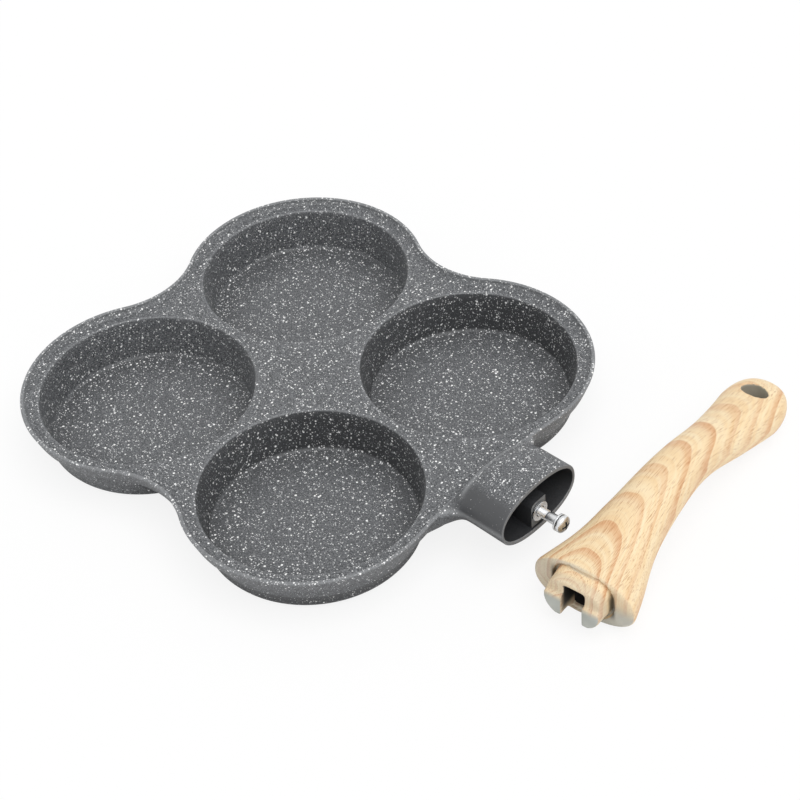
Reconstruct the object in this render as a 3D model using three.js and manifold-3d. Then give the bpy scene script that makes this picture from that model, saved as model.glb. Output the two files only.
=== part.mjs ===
// A four-cup frying pan with its handle taken off and laid beside it, as one scene graph.
// Millimetres, +Z up. The pan and the handle both rest on the plane z = 0.
import * as THREE from 'three';
import { mergeVertices } from 'three/addons/utils/BufferGeometryUtils.js';
import Module from 'manifold-3d';

const wasm = await Module();
wasm.setup();

// Cups: four alike, at the corners of a square
const CUP_PITCH = 112;
const CUP_RIM_RADIUS = 53.3;
const CUP_FLOOR_RADIUS = 50.2;
const CUP_DEPTH = 22.3;
const CUP_FLOOR_THICKNESS = 2.7;
const CUP_WALL = 2.3;
const CUP_OUTSIDE_DRAFT = 6.4;
const CUP_FLOOR_FILLET = 2.2;
const CUP_EDGE_ROUND = 1.1;
const CUP_BASE_ROUND = 6;
const CUP_SIDES = 52;

// Rim: a lobe around each cup, hollows between the lobes, and a raised lip
const LOBE_RADIUS = 62.1;
const HOLLOW_REACH = 102.2;
const SOCKET_SIDE_REACH = 114.4;
const LIP_RISE = 3.1;
const LIP_WIDTH = 1.9;
const LIP_FILLET = 2.2;
const LIP_ROUND = 0.7;
const SKIRT_HEIGHT = 7.8;
const SKIRT_DRAFT = 2.6;
const SKIRT_WALL = 2.4;
const DECK_THICKNESS = 2.9;
const ARC_SAGITTA = 0.11;

// Socket: an oval tube on the +X side, measured from the deck and the pan's centre
const MOUTH_REACH = 146.7;
const SOCKET_HALF_WIDTH = 26;
const SOCKET_HALF_HEIGHT = 13.7;
const SOCKET_CENTRE_ABOVE_DECK = 2.7;
const SOCKET_POWER = 2.25;
const SOCKET_WALL = 2.3;
const SOCKET_SIDE_WALL = 1.5;
const SOCKET_UNDER_RISE = 2.4;
const SOCKET_ROOT_REACH = 99;
const SOCKET_BACK_REACH = 121;
const SHOULDER_REACH = 113.4;
const SHOULDER_LENGTH = 17.4;
const SHOULDER_SINK = 0.1;
const ROOT_FLARE = 17;
const ROOT_FLARE_LENGTH = 12;
const ROOT_FLARE_POWER = 2.8;
const FLARE_FULL_HEIGHT = 23;
const FLARE_END_HEIGHT = 30;
const MOUTH_ROUND = 0.5;
const MOUTH_LEAN = 0.07;
const OVAL_SIDES = 44;
const SHOULDER_RINGS = 10;
const INNER_SHOULDER_RINGS = 4;

// Post inside the socket, which takes the screw
const POST_WIDTH = 10;
const POST_ABOVE_SCREW = 6.4;
const POST_CORNER = 3;
const POST_SETBACK = 0.5;
const POST_SINK = 0.1;
const THREAD_HOLE_RADIUS = 2.8;
const THREAD_HOLE_DEPTH = 22;

// Screw and washers
const SCREW_BELOW_DECK = 0.8;
const SCREW_RADIUS = 2.45;
const SCREW_CORE_RADIUS = 2.05;
const THREAD_PITCH = 0.8;
const THREAD_START = 2;
const THREAD_TURNS_SHOWN = 8;
const SCREW_IN_POST = 10;
const SCREW_SHANK_OUT = 13;
const HEAD_RADIUS = 4.3;
const HEAD_HEIGHT = 3.3;
const HEAD_RIM_HEIGHT = 1.3;
const HEAD_DOME_STEPS = 4;
const RECESS_WIDTH = 1.1;
const RECESS_LENGTH = 5;
const RECESS_DEPTH = 1.7;
const WASHER_RADIUS = 5;
const WASHER_HOLE_RADIUS = 2.75;
const WASHER_THICKNESS = 1;
const SPRING_WASHER_RADIUS = 4.3;
const SPRING_WASHER_THICKNESS = 1.2;
const SPRING_WASHER_SPLIT = 1;
const SPRING_WASHER_SLANT = THREE.MathUtils.degToRad(30);
const CONTACT_GAP = 0.3;
const SCREW_SIDES = 24;

// Handle: an arched moulding, with its sizes given at distances from its front face
const HANDLE_LENGTH = 165.3;
const HALF_WIDTH_AT = { 0: 27.2, 10: 24.1, 32: 17, 65: 12.7, 97: 11.2, 121: 13.3, 143: 16.2 };
const HALF_HEIGHT_AT = { 0: 15, 16: 14.5, 81: 12, 143: 12, 166: 11.5 };
const CENTRE_HEIGHT_AT = { 0: 15, 18: 16.6, 40: 23, 81: 27, 121: 16.7, 143: 12.3, 166: 11.6 };
const TAIL_ROUND_LENGTH = 23;
const TAIL_ROUND_POWER = 2.4;
const FRONT_ROUND = 2.6;
const FRONT_ROUND_STEPS = [0, 0.12, 0.4, 1];
const SECTION_POWER = 2.25;
const HANDLE_SIDES = 36;
const HANDLE_RINGS = 34;
const HOLE_FROM_FRONT = 148.5;
const HOLE_HALF_ACROSS = 7;
const HOLE_HALF_ALONG = 4.7;
const HOLE_CUT_HEIGHT = 60;

// Tongue at the front of the handle, which enters the socket and straddles the post
const TONGUE_PLAY = 0.7;
const TONGUE_HALF_WIDTH = 14.5;
const TONGUE_TOP_POWER = 3.5;
const TONGUE_FLARE_LENGTH = 3;
const TONGUE_ROOT_RISE = 3.2;
const LEG_LENGTH = 10;
const LEG_BELOW_CENTRE = 8.4;
const LEG_ABOVE_CENTRE = 3;
const ARCH_LENGTH = 7.3;
const SLOT_HALF_WIDTH = 5.3;
const SLOT_ABOVE_CENTRE = 8.4;
const TUNNEL_BELOW_CENTRE = 9.5;
const TUNNEL_DEPTH = 22;
const TUNNEL_RISE = THREE.MathUtils.degToRad(10);

// Where the handle lies: its front face's centre, and its turn away from the pan's +Y axis
const HANDLE_FRONT_X = 188;
const HANDLE_FRONT_Y = -20.5;
const HANDLE_TURN = THREE.MathUtils.degToRad(4.8);

// Heights that follow from the driving dimensions
const DECK = CUP_FLOOR_THICKNESS + CUP_DEPTH;
const LIP_TOP = DECK + LIP_RISE;
const SKIRT_BOTTOM = LIP_TOP - SKIRT_HEIGHT;
const SOCKET_CENTRE = DECK + SOCKET_CENTRE_ABOVE_DECK;
const SOCKET_TOP = SOCKET_CENTRE + SOCKET_HALF_HEIGHT;
const SOCKET_BOTTOM = SOCKET_CENTRE - SOCKET_HALF_HEIGHT;
const SCREW_AXIS = DECK - SCREW_BELOW_DECK;
const HALF_PITCH = CUP_PITCH / 2;
const POST_FACE = MOUTH_REACH - POST_SETBACK;
const QUARTER = Math.PI / 2;
const UP = new THREE.Vector3(0, 0, 1);
const OVERCUT = 6;
const WELD = 1e-4;

const LOOKS = {
  coating: { color: '#5b5c5e', roughness: 0.55, metalness: 0.25 },
  steel: { color: '#c9cacc', roughness: 0.22, metalness: 1 },
  wood: { color: '#e6c79c', roughness: 0.5, metalness: 0 },
};

// A closed geometry as a solid with its faces pointing out
function solid(geometry) {
  const bare = new THREE.BufferGeometry();
  bare.setAttribute('position', geometry.getAttribute('position'));
  bare.setIndex(geometry.getIndex());
  const merged = mergeVertices(bare, WELD);
  const points = merged.getAttribute('position');
  const corners = merged.getIndex().array;
  const a = new THREE.Vector3();
  const b = new THREE.Vector3();
  const c = new THREE.Vector3();
  const kept = [];
  let volume = 0;
  for (let i = 0; i < corners.length; i += 3) {
    const [p, q, r] = [corners[i], corners[i + 1], corners[i + 2]];
    if (p !== q && q !== r && r !== p) {
      kept.push(p, q, r);
      a.fromBufferAttribute(points, p);
      b.fromBufferAttribute(points, q);
      c.fromBufferAttribute(points, r);
      volume += a.dot(b.cross(c));
    }
  }
  const triVerts = new Uint32Array(volume < 0 ? kept.reverse() : kept);
  const vertProperties = new Float32Array(points.array);
  return new wasm.Manifold(new wasm.Mesh({ numProp: 3, vertProperties, triVerts }));
}

// A solid as a named mesh
function piece(name, body, look) {
  const { vertProperties, triVerts } = body.getMesh();
  const geometry = new THREE.BufferGeometry();
  geometry.setAttribute('position', new THREE.BufferAttribute(vertProperties, 3));
  geometry.setIndex(new THREE.BufferAttribute(triVerts, 1));
  geometry.computeVertexNormals();
  const mesh = new THREE.Mesh(geometry, new THREE.MeshStandardMaterial(look));
  mesh.name = name;
  return mesh;
}

// A closed skin through rings of points, with a flat fan on each end
function loft(rings) {
  const count = rings[0].length;
  const points = rings.flat();
  const index = [];
  rings.slice(1).forEach((ring, level) => {
    for (let i = 0; i < count; i += 1) {
      const here = level * count + i;
      const next = level * count + ((i + 1) % count);
      index.push(here, next, next + count, here, next + count, here + count);
    }
  });
  [0, rings.length - 1].forEach((level) => {
    const centre = new THREE.Vector3();
    rings[level].forEach((point) => centre.addScaledVector(point, 1 / count));
    points.push(centre);
    for (let i = 0; i < count; i += 1) {
      const edge = [level * count + i, level * count + ((i + 1) % count)];
      index.push(points.length - 1, ...(level === 0 ? edge.reverse() : edge));
    }
  });
  return new THREE.BufferGeometry().setFromPoints(points).setIndex(index);
}

// Points round an oval in the plane across the X axis; a power of 2 makes an ellipse
function ovalRing(x, y, z, halfWidth, halfHeight, sides, power = 2) {
  return Array.from({ length: sides }, (_, i) => {
    const angle = (2 * Math.PI * i) / sides;
    const round = (value) => Math.sign(value) * Math.abs(value) ** (2 / power);
    const across = y + halfWidth * round(Math.cos(angle));
    return new THREE.Vector3(x, across, z + halfHeight * round(Math.sin(angle)));
  });
}

// A turned solid about Z from its profile of radius and height
function turned(profile, sides) {
  const points = profile.map(([radius, height]) => new THREE.Vector2(radius, height));
  return new THREE.LatheGeometry(points, sides).rotateX(QUARTER);
}

// Points along an arc, close enough together to stay near the true curve of the pace radius
function arc(centre, radius, from, to, pace = radius) {
  const step = 2 * Math.acos(1 - ARC_SAGITTA / pace);
  const count = Math.ceil(Math.abs(to - from) / step);
  return Array.from({ length: count + 1 }, (_, i) => {
    const angle = from + ((to - from) * i) / count;
    return [centre[0] + radius * Math.cos(angle), centre[1] + radius * Math.sin(angle)];
  });
}

// A smooth value between the stations of a table of distances
function stations(table) {
  const at = Object.keys(table).map(Number);
  const curve = new THREE.CubicInterpolant(at, Object.values(table), 1);
  return (distance) => curve.evaluate(distance)[0];
}

// The hollow between two lobes is an arc that touches both and reaches in to a set distance
function hollow(reach) {
  const past = reach - HALF_PITCH;
  const square = HALF_PITCH ** 2 + past ** 2 - LOBE_RADIUS ** 2;
  const radius = square / (2 * (LOBE_RADIUS - past));
  return { radius, centre: reach + radius };
}

// A ring of the rim's outline, moved inwards by an inset, at a height
function rimRing([inset, height]) {
  const points = [];
  const reaches = [SOCKET_SIDE_REACH, HOLLOW_REACH, HOLLOW_REACH, HOLLOW_REACH];
  reaches.forEach((reach, side) => {
    const before = hollow(reach);
    const after = hollow(reaches[(side + 1) % reaches.length]);
    const cup = [HALF_PITCH, HALF_PITCH];
    const start = Math.atan2(-HALF_PITCH, before.centre - HALF_PITCH);
    const end = QUARTER - Math.atan2(-HALF_PITCH, after.centre - HALF_PITCH);
    const lean = Math.atan2(HALF_PITCH, after.centre - HALF_PITCH);
    const lobe = arc(cup, LOBE_RADIUS - inset, start, end, LOBE_RADIUS);
    const middle = [0, after.centre];
    const dip = arc(middle, after.radius + inset, lean - QUARTER, -lean - QUARTER, after.radius);
    [...lobe, ...dip.slice(1, -1)].forEach(([x, y]) => {
      points.push(new THREE.Vector3(x, y, height).applyAxisAngle(UP, side * QUARTER));
    });
  });
  return points;
}

// A box from its two corners
function block(low, high) {
  const size = high.map((value, i) => value - low[i]);
  const middle = high.map((value, i) => (value + low[i]) / 2);
  return solid(new THREE.BoxGeometry(...size).translate(...middle));
}

// A flat shape, drawn across and up, pushed along X from one place to another
function pushed(shape, from, to) {
  const geometry = new THREE.ExtrudeGeometry(shape, { depth: to - from, bevelEnabled: false });
  return geometry.rotateX(QUARTER).rotateZ(QUARTER).translate(from, 0, 0);
}

// A round bar along X
function barX(radius, from, to, sides) {
  const bar = new THREE.CylinderGeometry(radius, radius, to - from, sides);
  return bar.rotateZ(-QUARTER).translate((from + to) / 2, 0, 0);
}

const joined = (bodies) => bodies.reduce((whole, body) => whole.add(body));
const cutBy = (body, cutters) => cutters.reduce((whole, cutter) => whole.subtract(cutter), body);

// The four cup centres
const cupCentres = [0, 1, 2, 3].map((corner) => {
  const diagonal = new THREE.Vector2(HALF_PITCH, HALF_PITCH);
  return diagonal.rotateAround(new THREE.Vector2(), corner * QUARTER);
});

// Outside of a cup: flat base, rounded foot and drafted wall
function cupOutside() {
  const foot = CUP_FLOOR_RADIUS + CUP_WALL;
  const wallTop = foot + CUP_OUTSIDE_DRAFT;
  const round = arc([foot - CUP_BASE_ROUND, CUP_BASE_ROUND], CUP_BASE_ROUND, -QUARTER, 0);
  const top = DECK - CUP_EDGE_ROUND;
  return turned([[0, 0], ...round, [wallTop, top], [0, top]], CUP_SIDES);
}

// Inside of a cup: flat floor, small fillet, drafted wall and rounded edge at the deck
function cupInside() {
  const floor = CUP_FLOOR_THICKNESS;
  const foot = CUP_FLOOR_RADIUS - CUP_FLOOR_FILLET;
  const fillet = arc([foot, floor + CUP_FLOOR_FILLET], CUP_FLOOR_FILLET, -QUARTER, 0);
  const edgeCentre = [CUP_RIM_RADIUS + CUP_EDGE_ROUND, DECK - CUP_EDGE_ROUND];
  const edge = arc(edgeCentre, CUP_EDGE_ROUND, Math.PI, QUARTER);
  const top = DECK + OVERCUT;
  const wide = CUP_RIM_RADIUS + CUP_EDGE_ROUND;
  return turned([[0, floor], ...fillet, ...edge, [wide, top], [0, top]], CUP_SIDES);
}

// One ring of the socket's skin: the top rises over a round shoulder that follows the rim's curve,
// the underside rises towards the pan, and the lower flanks flare into the skirt
function socketRing(x, inset, sideInset = inset) {
  const rise = THREE.MathUtils.clamp((x - SHOULDER_REACH) / SHOULDER_LENGTH, 0, 1);
  const out = THREE.MathUtils.clamp((x - SHOULDER_REACH) / ROOT_FLARE_LENGTH, 0, 1);
  const back = THREE.MathUtils.clamp((MOUTH_REACH - x) / (MOUTH_REACH - SHOULDER_REACH), 0, 1);
  const low = x < SHOULDER_REACH ? DECK - LIP_ROUND : LIP_TOP - SHOULDER_SINK;
  const top = low + (SOCKET_TOP - low) * Math.sqrt(1 - (1 - rise) ** 2) - inset;
  const bottom = SOCKET_BOTTOM + SOCKET_UNDER_RISE * back + inset;
  const halfWidth = SOCKET_HALF_WIDTH - sideInset;
  const halfHeight = (top - bottom) / 2;
  const ring = ovalRing(x, 0, bottom + halfHeight, halfWidth, halfHeight, OVAL_SIDES, SOCKET_POWER);
  const flare = (ROOT_FLARE * (1 - out) ** ROOT_FLARE_POWER) / halfWidth;
  const { radius } = hollow(SOCKET_SIDE_REACH);
  ring.forEach((point) => {
    const high = THREE.MathUtils.smoothstep(point.z, FLARE_FULL_HEIGHT, FLARE_END_HEIGHT);
    point.y *= 1 + flare * (1 - high);
    const curve = radius - Math.sqrt(radius ** 2 - point.y ** 2);
    const lean = MOUTH_LEAN * (SOCKET_CENTRE - point.z);
    point.x += (1 - rise) * curve + (1 - back) * lean;
  });
  return ring;
}

// Places along the socket, closer together where the shoulder turns
function shoulderPlaces(from, to, count) {
  return Array.from({ length: count }, (_, i) => from + (to - from) * (i / (count - 1)) ** 2);
}

// The casting: rim, cups, socket and post in one
function panBody() {
  const lipEdge = arc([LIP_ROUND, LIP_TOP - LIP_ROUND], LIP_ROUND, Math.PI, QUARTER);
  const rim = solid(loft([[SKIRT_DRAFT, SKIRT_BOTTOM], ...lipEdge].map(rimRing)));
  const skirtInside = SKIRT_DRAFT + SKIRT_WALL;
  const hollowEnds = [[skirtInside, SKIRT_BOTTOM - OVERCUT], [skirtInside, DECK - DECK_THICKNESS]];
  const hollowUnder = solid(loft(hollowEnds.map(rimRing)));
  const filletCentre = [LIP_WIDTH + LIP_FILLET, DECK + LIP_FILLET];
  const deckFillet = arc(filletCentre, LIP_FILLET, -QUARTER, -Math.PI);
  const deckCut = solid(loft([...deckFillet, [LIP_WIDTH, LIP_TOP + OVERCUT]].map(rimRing)));

  const shoulderEnd = SHOULDER_REACH + SHOULDER_LENGTH;
  const outerPlaces = [
    SOCKET_ROOT_REACH,
    SHOULDER_REACH - WELD,
    ...shoulderPlaces(SHOULDER_REACH, shoulderEnd, SHOULDER_RINGS),
    MOUTH_REACH - MOUTH_ROUND,
  ];
  const outerRings = outerPlaces.map((x) => socketRing(x, 0));
  outerRings.push(socketRing(MOUTH_REACH, MOUTH_ROUND));
  const innerPlaces = [
    ...shoulderPlaces(SOCKET_BACK_REACH, shoulderEnd, INNER_SHOULDER_RINGS),
    MOUTH_REACH + OVERCUT,
  ];
  const socketInside = solid(loft(innerPlaces.map((x) => socketRing(x, SOCKET_WALL, SOCKET_SIDE_WALL))));

  const outsides = cupCentres.map(({ x, y }) => solid(cupOutside().translate(x, y, 0)));
  const insides = cupCentres.map(({ x, y }) => solid(cupInside().translate(x, y, 0)));
  const shell = joined([rim.subtract(hollowUnder), ...outsides, solid(loft(outerRings))]);
  const pan = cutBy(shell, [deckCut, ...insides, socketInside]);
  return cutBy(pan.add(post()), [
    solid(barX(THREAD_HOLE_RADIUS, POST_FACE - THREAD_HOLE_DEPTH, POST_FACE + OVERCUT, SCREW_SIDES)
      .translate(0, 0, SCREW_AXIS)),
  ]);
}

// The post stands on the socket's floor, with one rounded corner, flush with the mouth
function post() {
  const half = POST_WIDTH / 2;
  const top = SCREW_AXIS + POST_ABOVE_SCREW;
  const foot = SOCKET_BOTTOM + SOCKET_WALL - POST_SINK;
  const shape = new THREE.Shape();
  shape.moveTo(-half, foot);
  shape.lineTo(half, foot);
  shape.lineTo(half, top);
  shape.lineTo(POST_CORNER - half, top);
  shape.absarc(POST_CORNER - half, top - POST_CORNER, POST_CORNER, QUARTER, Math.PI, false);
  return solid(pushed(shape, SOCKET_BACK_REACH - SOCKET_WALL, POST_FACE));
}

// A flat ring about X, from its outer and inner radius
function ring(radius, hole, thickness) {
  const disc = solid(barX(radius, 0, thickness, SCREW_SIDES));
  return disc.subtract(solid(barX(hole, -OVERCUT, OVERCUT, SCREW_SIDES)));
}

// The spring washer is a ring with a slanted split
function springWasher() {
  const split = new THREE.BoxGeometry(3 * OVERCUT, SPRING_WASHER_SPLIT, SPRING_WASHER_RADIUS);
  split.translate(0, 0, SPRING_WASHER_RADIUS / 2 + SCREW_RADIUS / 2);
  split.rotateZ(SPRING_WASHER_SLANT);
  return ring(SPRING_WASHER_RADIUS, WASHER_HOLE_RADIUS, SPRING_WASHER_THICKNESS).subtract(solid(split));
}

// The screw about X, with x = 0 at the post's face: tip, thread, shank and domed cross-slot head
function screw() {
  const profile = [[0, -SCREW_IN_POST], [SCREW_CORE_RADIUS, -SCREW_IN_POST]];
  profile.push([SCREW_RADIUS, -SCREW_IN_POST + THREAD_PITCH]);
  for (let turn = 0; turn < THREAD_TURNS_SHOWN; turn += 1) {
    const crest = THREAD_START + turn * THREAD_PITCH;
    profile.push([SCREW_RADIUS, crest], [SCREW_CORE_RADIUS, crest + THREAD_PITCH / 2]);
  }
  profile.push([SCREW_RADIUS, THREAD_START + THREAD_TURNS_SHOWN * THREAD_PITCH]);
  profile.push([SCREW_RADIUS, SCREW_SHANK_OUT], [HEAD_RADIUS, SCREW_SHANK_OUT]);
  const domeFoot = SCREW_SHANK_OUT + HEAD_RIM_HEIGHT;
  for (let step = 0; step < HEAD_DOME_STEPS; step += 1) {
    const angle = (step / HEAD_DOME_STEPS) * QUARTER;
    const height = domeFoot + (HEAD_HEIGHT - HEAD_RIM_HEIGHT) * Math.sin(angle);
    profile.push([HEAD_RADIUS * Math.cos(angle), height]);
  }
  const top = SCREW_SHANK_OUT + HEAD_HEIGHT;
  profile.push([0, top]);
  const body = solid(turned(profile, SCREW_SIDES).rotateY(QUARTER));
  const half = RECESS_LENGTH / 2;
  const slim = RECESS_WIDTH / 2;
  return cutBy(body, [
    block([top - RECESS_DEPTH, -half, -slim], [top + OVERCUT, half, slim]),
    block([top - RECESS_DEPTH, -slim, -half], [top + OVERCUT, slim, half]),
  ]);
}

// The handle in its own frame: x runs from the front face to the tail, z = 0 is where it rests
function handle() {
  const halfWidth = stations(HALF_WIDTH_AT);
  const halfHeight = stations(HALF_HEIGHT_AT);
  const centreHeight = stations(CENTRE_HEIGHT_AT);
  const roundStart = HANDLE_LENGTH - TAIL_ROUND_LENGTH;
  const places = FRONT_ROUND_STEPS.map((part) => part * FRONT_ROUND);
  for (let i = 1; i <= HANDLE_RINGS; i += 1) {
    const even = i / (HANDLE_RINGS + 1);
    places.push(FRONT_ROUND + (HANDLE_LENGTH - FRONT_ROUND) * Math.sin(even * QUARTER));
  }
  const rings = places.map((x) => {
    const past = Math.max(0, x - roundStart) / TAIL_ROUND_LENGTH;
    const tail = (1 - past ** TAIL_ROUND_POWER) ** (1 / TAIL_ROUND_POWER);
    const lead = Math.max(0, 1 - x / FRONT_ROUND);
    const nose = FRONT_ROUND * (1 - Math.sqrt(1 - lead ** 2));
    const across = halfWidth(x) * tail - nose;
    const up = halfHeight(x) * tail - nose;
    return ovalRing(x, 0, centreHeight(x), across, up, HANDLE_SIDES, SECTION_POWER);
  });
  const hole = new THREE.Shape();
  hole.absellipse(HOLE_FROM_FRONT, 0, HOLE_HALF_ALONG, HOLE_HALF_ACROSS, 0, 2 * Math.PI, false, 0);
  const holeCut = new THREE.ExtrudeGeometry(hole, { depth: HOLE_CUT_HEIGHT, bevelEnabled: false });
  const centre = HALF_HEIGHT_AT[0];
  const cuts = [tunnel(centre), tongueSlot(centre), solid(holeCut)];
  return cutBy(solid(loft(rings)).add(tongue(centre)), cuts);
}

// The tunnel behind the slot climbs with the handle's arch
function tunnel(centre) {
  const height = SLOT_ABOVE_CENTRE + TUNNEL_BELOW_CENTRE;
  const box = new THREE.BoxGeometry(TUNNEL_DEPTH + OVERCUT, 2 * SLOT_HALF_WIDTH, height);
  box.translate((TUNNEL_DEPTH - OVERCUT) / 2, 0, SLOT_ABOVE_CENTRE - height / 2);
  return solid(box.rotateY(-TUNNEL_RISE).translate(0, 0, centre));
}

// The tongue's body: an oval with a squarer top, as high as the socket allows and flared at its root
function tongue(centre) {
  const halfHeight = SOCKET_HALF_HEIGHT - SOCKET_WALL - TONGUE_PLAY;
  const ends = [
    [-LEG_LENGTH, halfHeight],
    [-TONGUE_FLARE_LENGTH, halfHeight],
    [FRONT_ROUND, halfHeight + TONGUE_ROOT_RISE],
  ];
  const bar = loft(ends.map(([x, up]) => {
    const half = OVAL_SIDES / 2;
    const top = ovalRing(x, 0, centre, TONGUE_HALF_WIDTH, up, OVAL_SIDES, TONGUE_TOP_POWER);
    const under = ovalRing(x, 0, centre, TONGUE_HALF_WIDTH, up, OVAL_SIDES);
    return [...top.slice(0, half), ...under.slice(half)];
  }));
  const legFeet = block(
    [-2 * LEG_LENGTH, -TONGUE_HALF_WIDTH, 0],
    [-OVERCUT / 2, TONGUE_HALF_WIDTH, centre - LEG_BELOW_CENTRE],
  );
  const aboveLegs = block(
    [-2 * LEG_LENGTH, -TONGUE_HALF_WIDTH, centre + LEG_ABOVE_CENTRE],
    [-ARCH_LENGTH, TONGUE_HALF_WIDTH, 2 * centre],
  );
  return cutBy(solid(bar), [legFeet, aboveLegs]);
}

// The slot between the legs is open in front and below
function tongueSlot(centre) {
  return block(
    [-2 * LEG_LENGTH, -SLOT_HALF_WIDTH, centre - SOCKET_HALF_HEIGHT],
    [0, SLOT_HALF_WIDTH, centre + SLOT_ABOVE_CENTRE],
  );
}

// The screw and its washers share the screw's axis, and x = 0 is the post's face
const fixing = new THREE.Group();
fixing.position.set(POST_FACE, 0, SCREW_AXIS);
const flatRing = ring(WASHER_RADIUS, WASHER_HOLE_RADIUS, WASHER_THICKNESS);
const flatWasher = piece('flat_washer', flatRing, LOOKS.steel);
flatWasher.position.x = CONTACT_GAP;
const lockWasher = piece('spring_washer', springWasher(), LOOKS.steel);
lockWasher.position.x = SCREW_SHANK_OUT - CONTACT_GAP - SPRING_WASHER_THICKNESS;
fixing.add(flatWasher, lockWasher, piece('fixing_screw', screw(), LOOKS.steel));

const handlePiece = piece('handle', handle(), LOOKS.wood);
handlePiece.geometry.computeBoundingBox();
handlePiece.position.set(HANDLE_FRONT_X, HANDLE_FRONT_Y, -handlePiece.geometry.boundingBox.min.z);
handlePiece.rotation.z = QUARTER + HANDLE_TURN;

const set = new THREE.Group();
set.add(piece('pan_body', panBody(), LOOKS.coating), fixing, handlePiece);

// The origin is the middle of the whole set's footprint, on the plane it rests on
set.updateMatrixWorld(true);
const middle = new THREE.Box3().setFromObject(set, true).getCenter(new THREE.Vector3());
set.position.set(-middle.x, -middle.y, 0);

export default set;
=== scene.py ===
"""A four-cup frying pan with its handle taken off and laid beside it.

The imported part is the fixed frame. The pieces made here are the same forms drawn finely, with their
finishes, in a small white studio. Lengths in the classes are millimetres, and finished meshes are in metres.
"""

import logging
import math
from collections.abc import Callable, Sequence
from dataclasses import dataclass, field
from enum import Enum
from functools import partial

import bmesh
import bpy
import numpy as np
from mathutils import Matrix, Vector


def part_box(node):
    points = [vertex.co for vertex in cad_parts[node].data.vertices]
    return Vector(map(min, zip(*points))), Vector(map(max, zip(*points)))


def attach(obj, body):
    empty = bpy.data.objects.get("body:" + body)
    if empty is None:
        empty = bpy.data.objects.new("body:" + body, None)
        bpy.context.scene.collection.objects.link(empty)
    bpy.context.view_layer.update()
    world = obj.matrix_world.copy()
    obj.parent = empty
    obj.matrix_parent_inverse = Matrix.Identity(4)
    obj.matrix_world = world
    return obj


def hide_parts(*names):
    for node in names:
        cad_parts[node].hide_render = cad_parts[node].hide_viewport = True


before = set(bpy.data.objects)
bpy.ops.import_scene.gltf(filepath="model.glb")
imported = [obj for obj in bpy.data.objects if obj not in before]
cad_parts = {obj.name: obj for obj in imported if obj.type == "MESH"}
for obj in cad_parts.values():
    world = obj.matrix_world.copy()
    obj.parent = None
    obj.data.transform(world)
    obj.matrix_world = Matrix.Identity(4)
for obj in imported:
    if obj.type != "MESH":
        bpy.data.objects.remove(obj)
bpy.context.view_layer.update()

LOG = logging.getLogger("four_cup_pan")
MM = 0.001
QUARTER = math.pi / 2

# Share of a direction past which a face counts as facing that way, and slack in millimetres at a surface.
FACING = 0.9
SLACK = 0.1

Mesh = bpy.types.Mesh
Piece = bpy.types.Object
Socket = bpy.types.NodeSocket
Tree = bpy.types.NodeTree
Pair = tuple[float, float]
Point = tuple[float, float, float]
Grid = list[np.ndarray]

# Prefix of a node's type by the kind of tree, and settings that many nodes share.
PREFIX = {"ShaderNodeTree": "ShaderNode", "GeometryNodeTree": "GeometryNode"}
TINT = {"out": 2, "data_type": "RGBA"}
EASED = {"interpolation_type": "SMOOTHSTEP"}


class Cut(Enum):
    """How one solid acts on another."""

    ADD = "UNION"
    TAKE = "DIFFERENCE"


class Section(Enum):
    """Form of a bar that is wound along a helix."""

    RIDGE = "four-sided ridge of a thread"
    BAR = "square bar with eased edges"


def hex_colour(code: str) -> tuple[float, float, float, float]:
    """Linear colour from an sRGB hex code.

    Args:
        code: Six hex digits after a hash.

    Returns:
        Red, green, blue and alpha.
    """
    values = [int(code[i:i + 2], 16) / 255 for i in (1, 3, 5)]
    linear = [v / 12.92 if v <= 0.04045 else ((v + 0.055) / 1.055) ** 2.4 for v in values]
    return (*linear, 1.0)


def add_node(
    tree: Tree,
    kind: str,
    inputs: dict | None = None,
    out: int | str = 0,
    **settings: object,
) -> Socket:
    """Add a node with its settings and links.

    Args:
        tree: Node tree that gets the node.
        kind: Node type, without its tree's prefix.
        inputs: Constants, or sockets to link, by input name or number.
        out: Output to hand back.
        settings: Node properties.

    Returns:
        The output socket, or None for a node without outputs.
    """
    node = tree.nodes.new(kind if kind.startswith("NodeGroup") else PREFIX[tree.bl_idname] + kind)
    for name, value in settings.items():
        setattr(node, name, value)
    for key, value in (inputs or {}).items():
        if isinstance(value, Socket):
            tree.links.new(value, node.inputs[key])
        else:
            node.inputs[key].default_value = value
    return node.outputs[out] if len(node.outputs) else None


def arc(centre: Sequence[float], radius: float, start: float, end: float, count: int) -> list[Pair]:
    """Points along an arc.

    Args:
        centre: Middle of the arc.
        radius: Its radius.
        start: First angle in radians.
        end: Last angle in radians.
        count: Number of steps.

    Returns:
        count + 1 points.
    """
    angles = np.linspace(start, end, count + 1)
    return [(centre[0] + radius * math.cos(a), centre[1] + radius * math.sin(a)) for a in angles]


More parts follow.
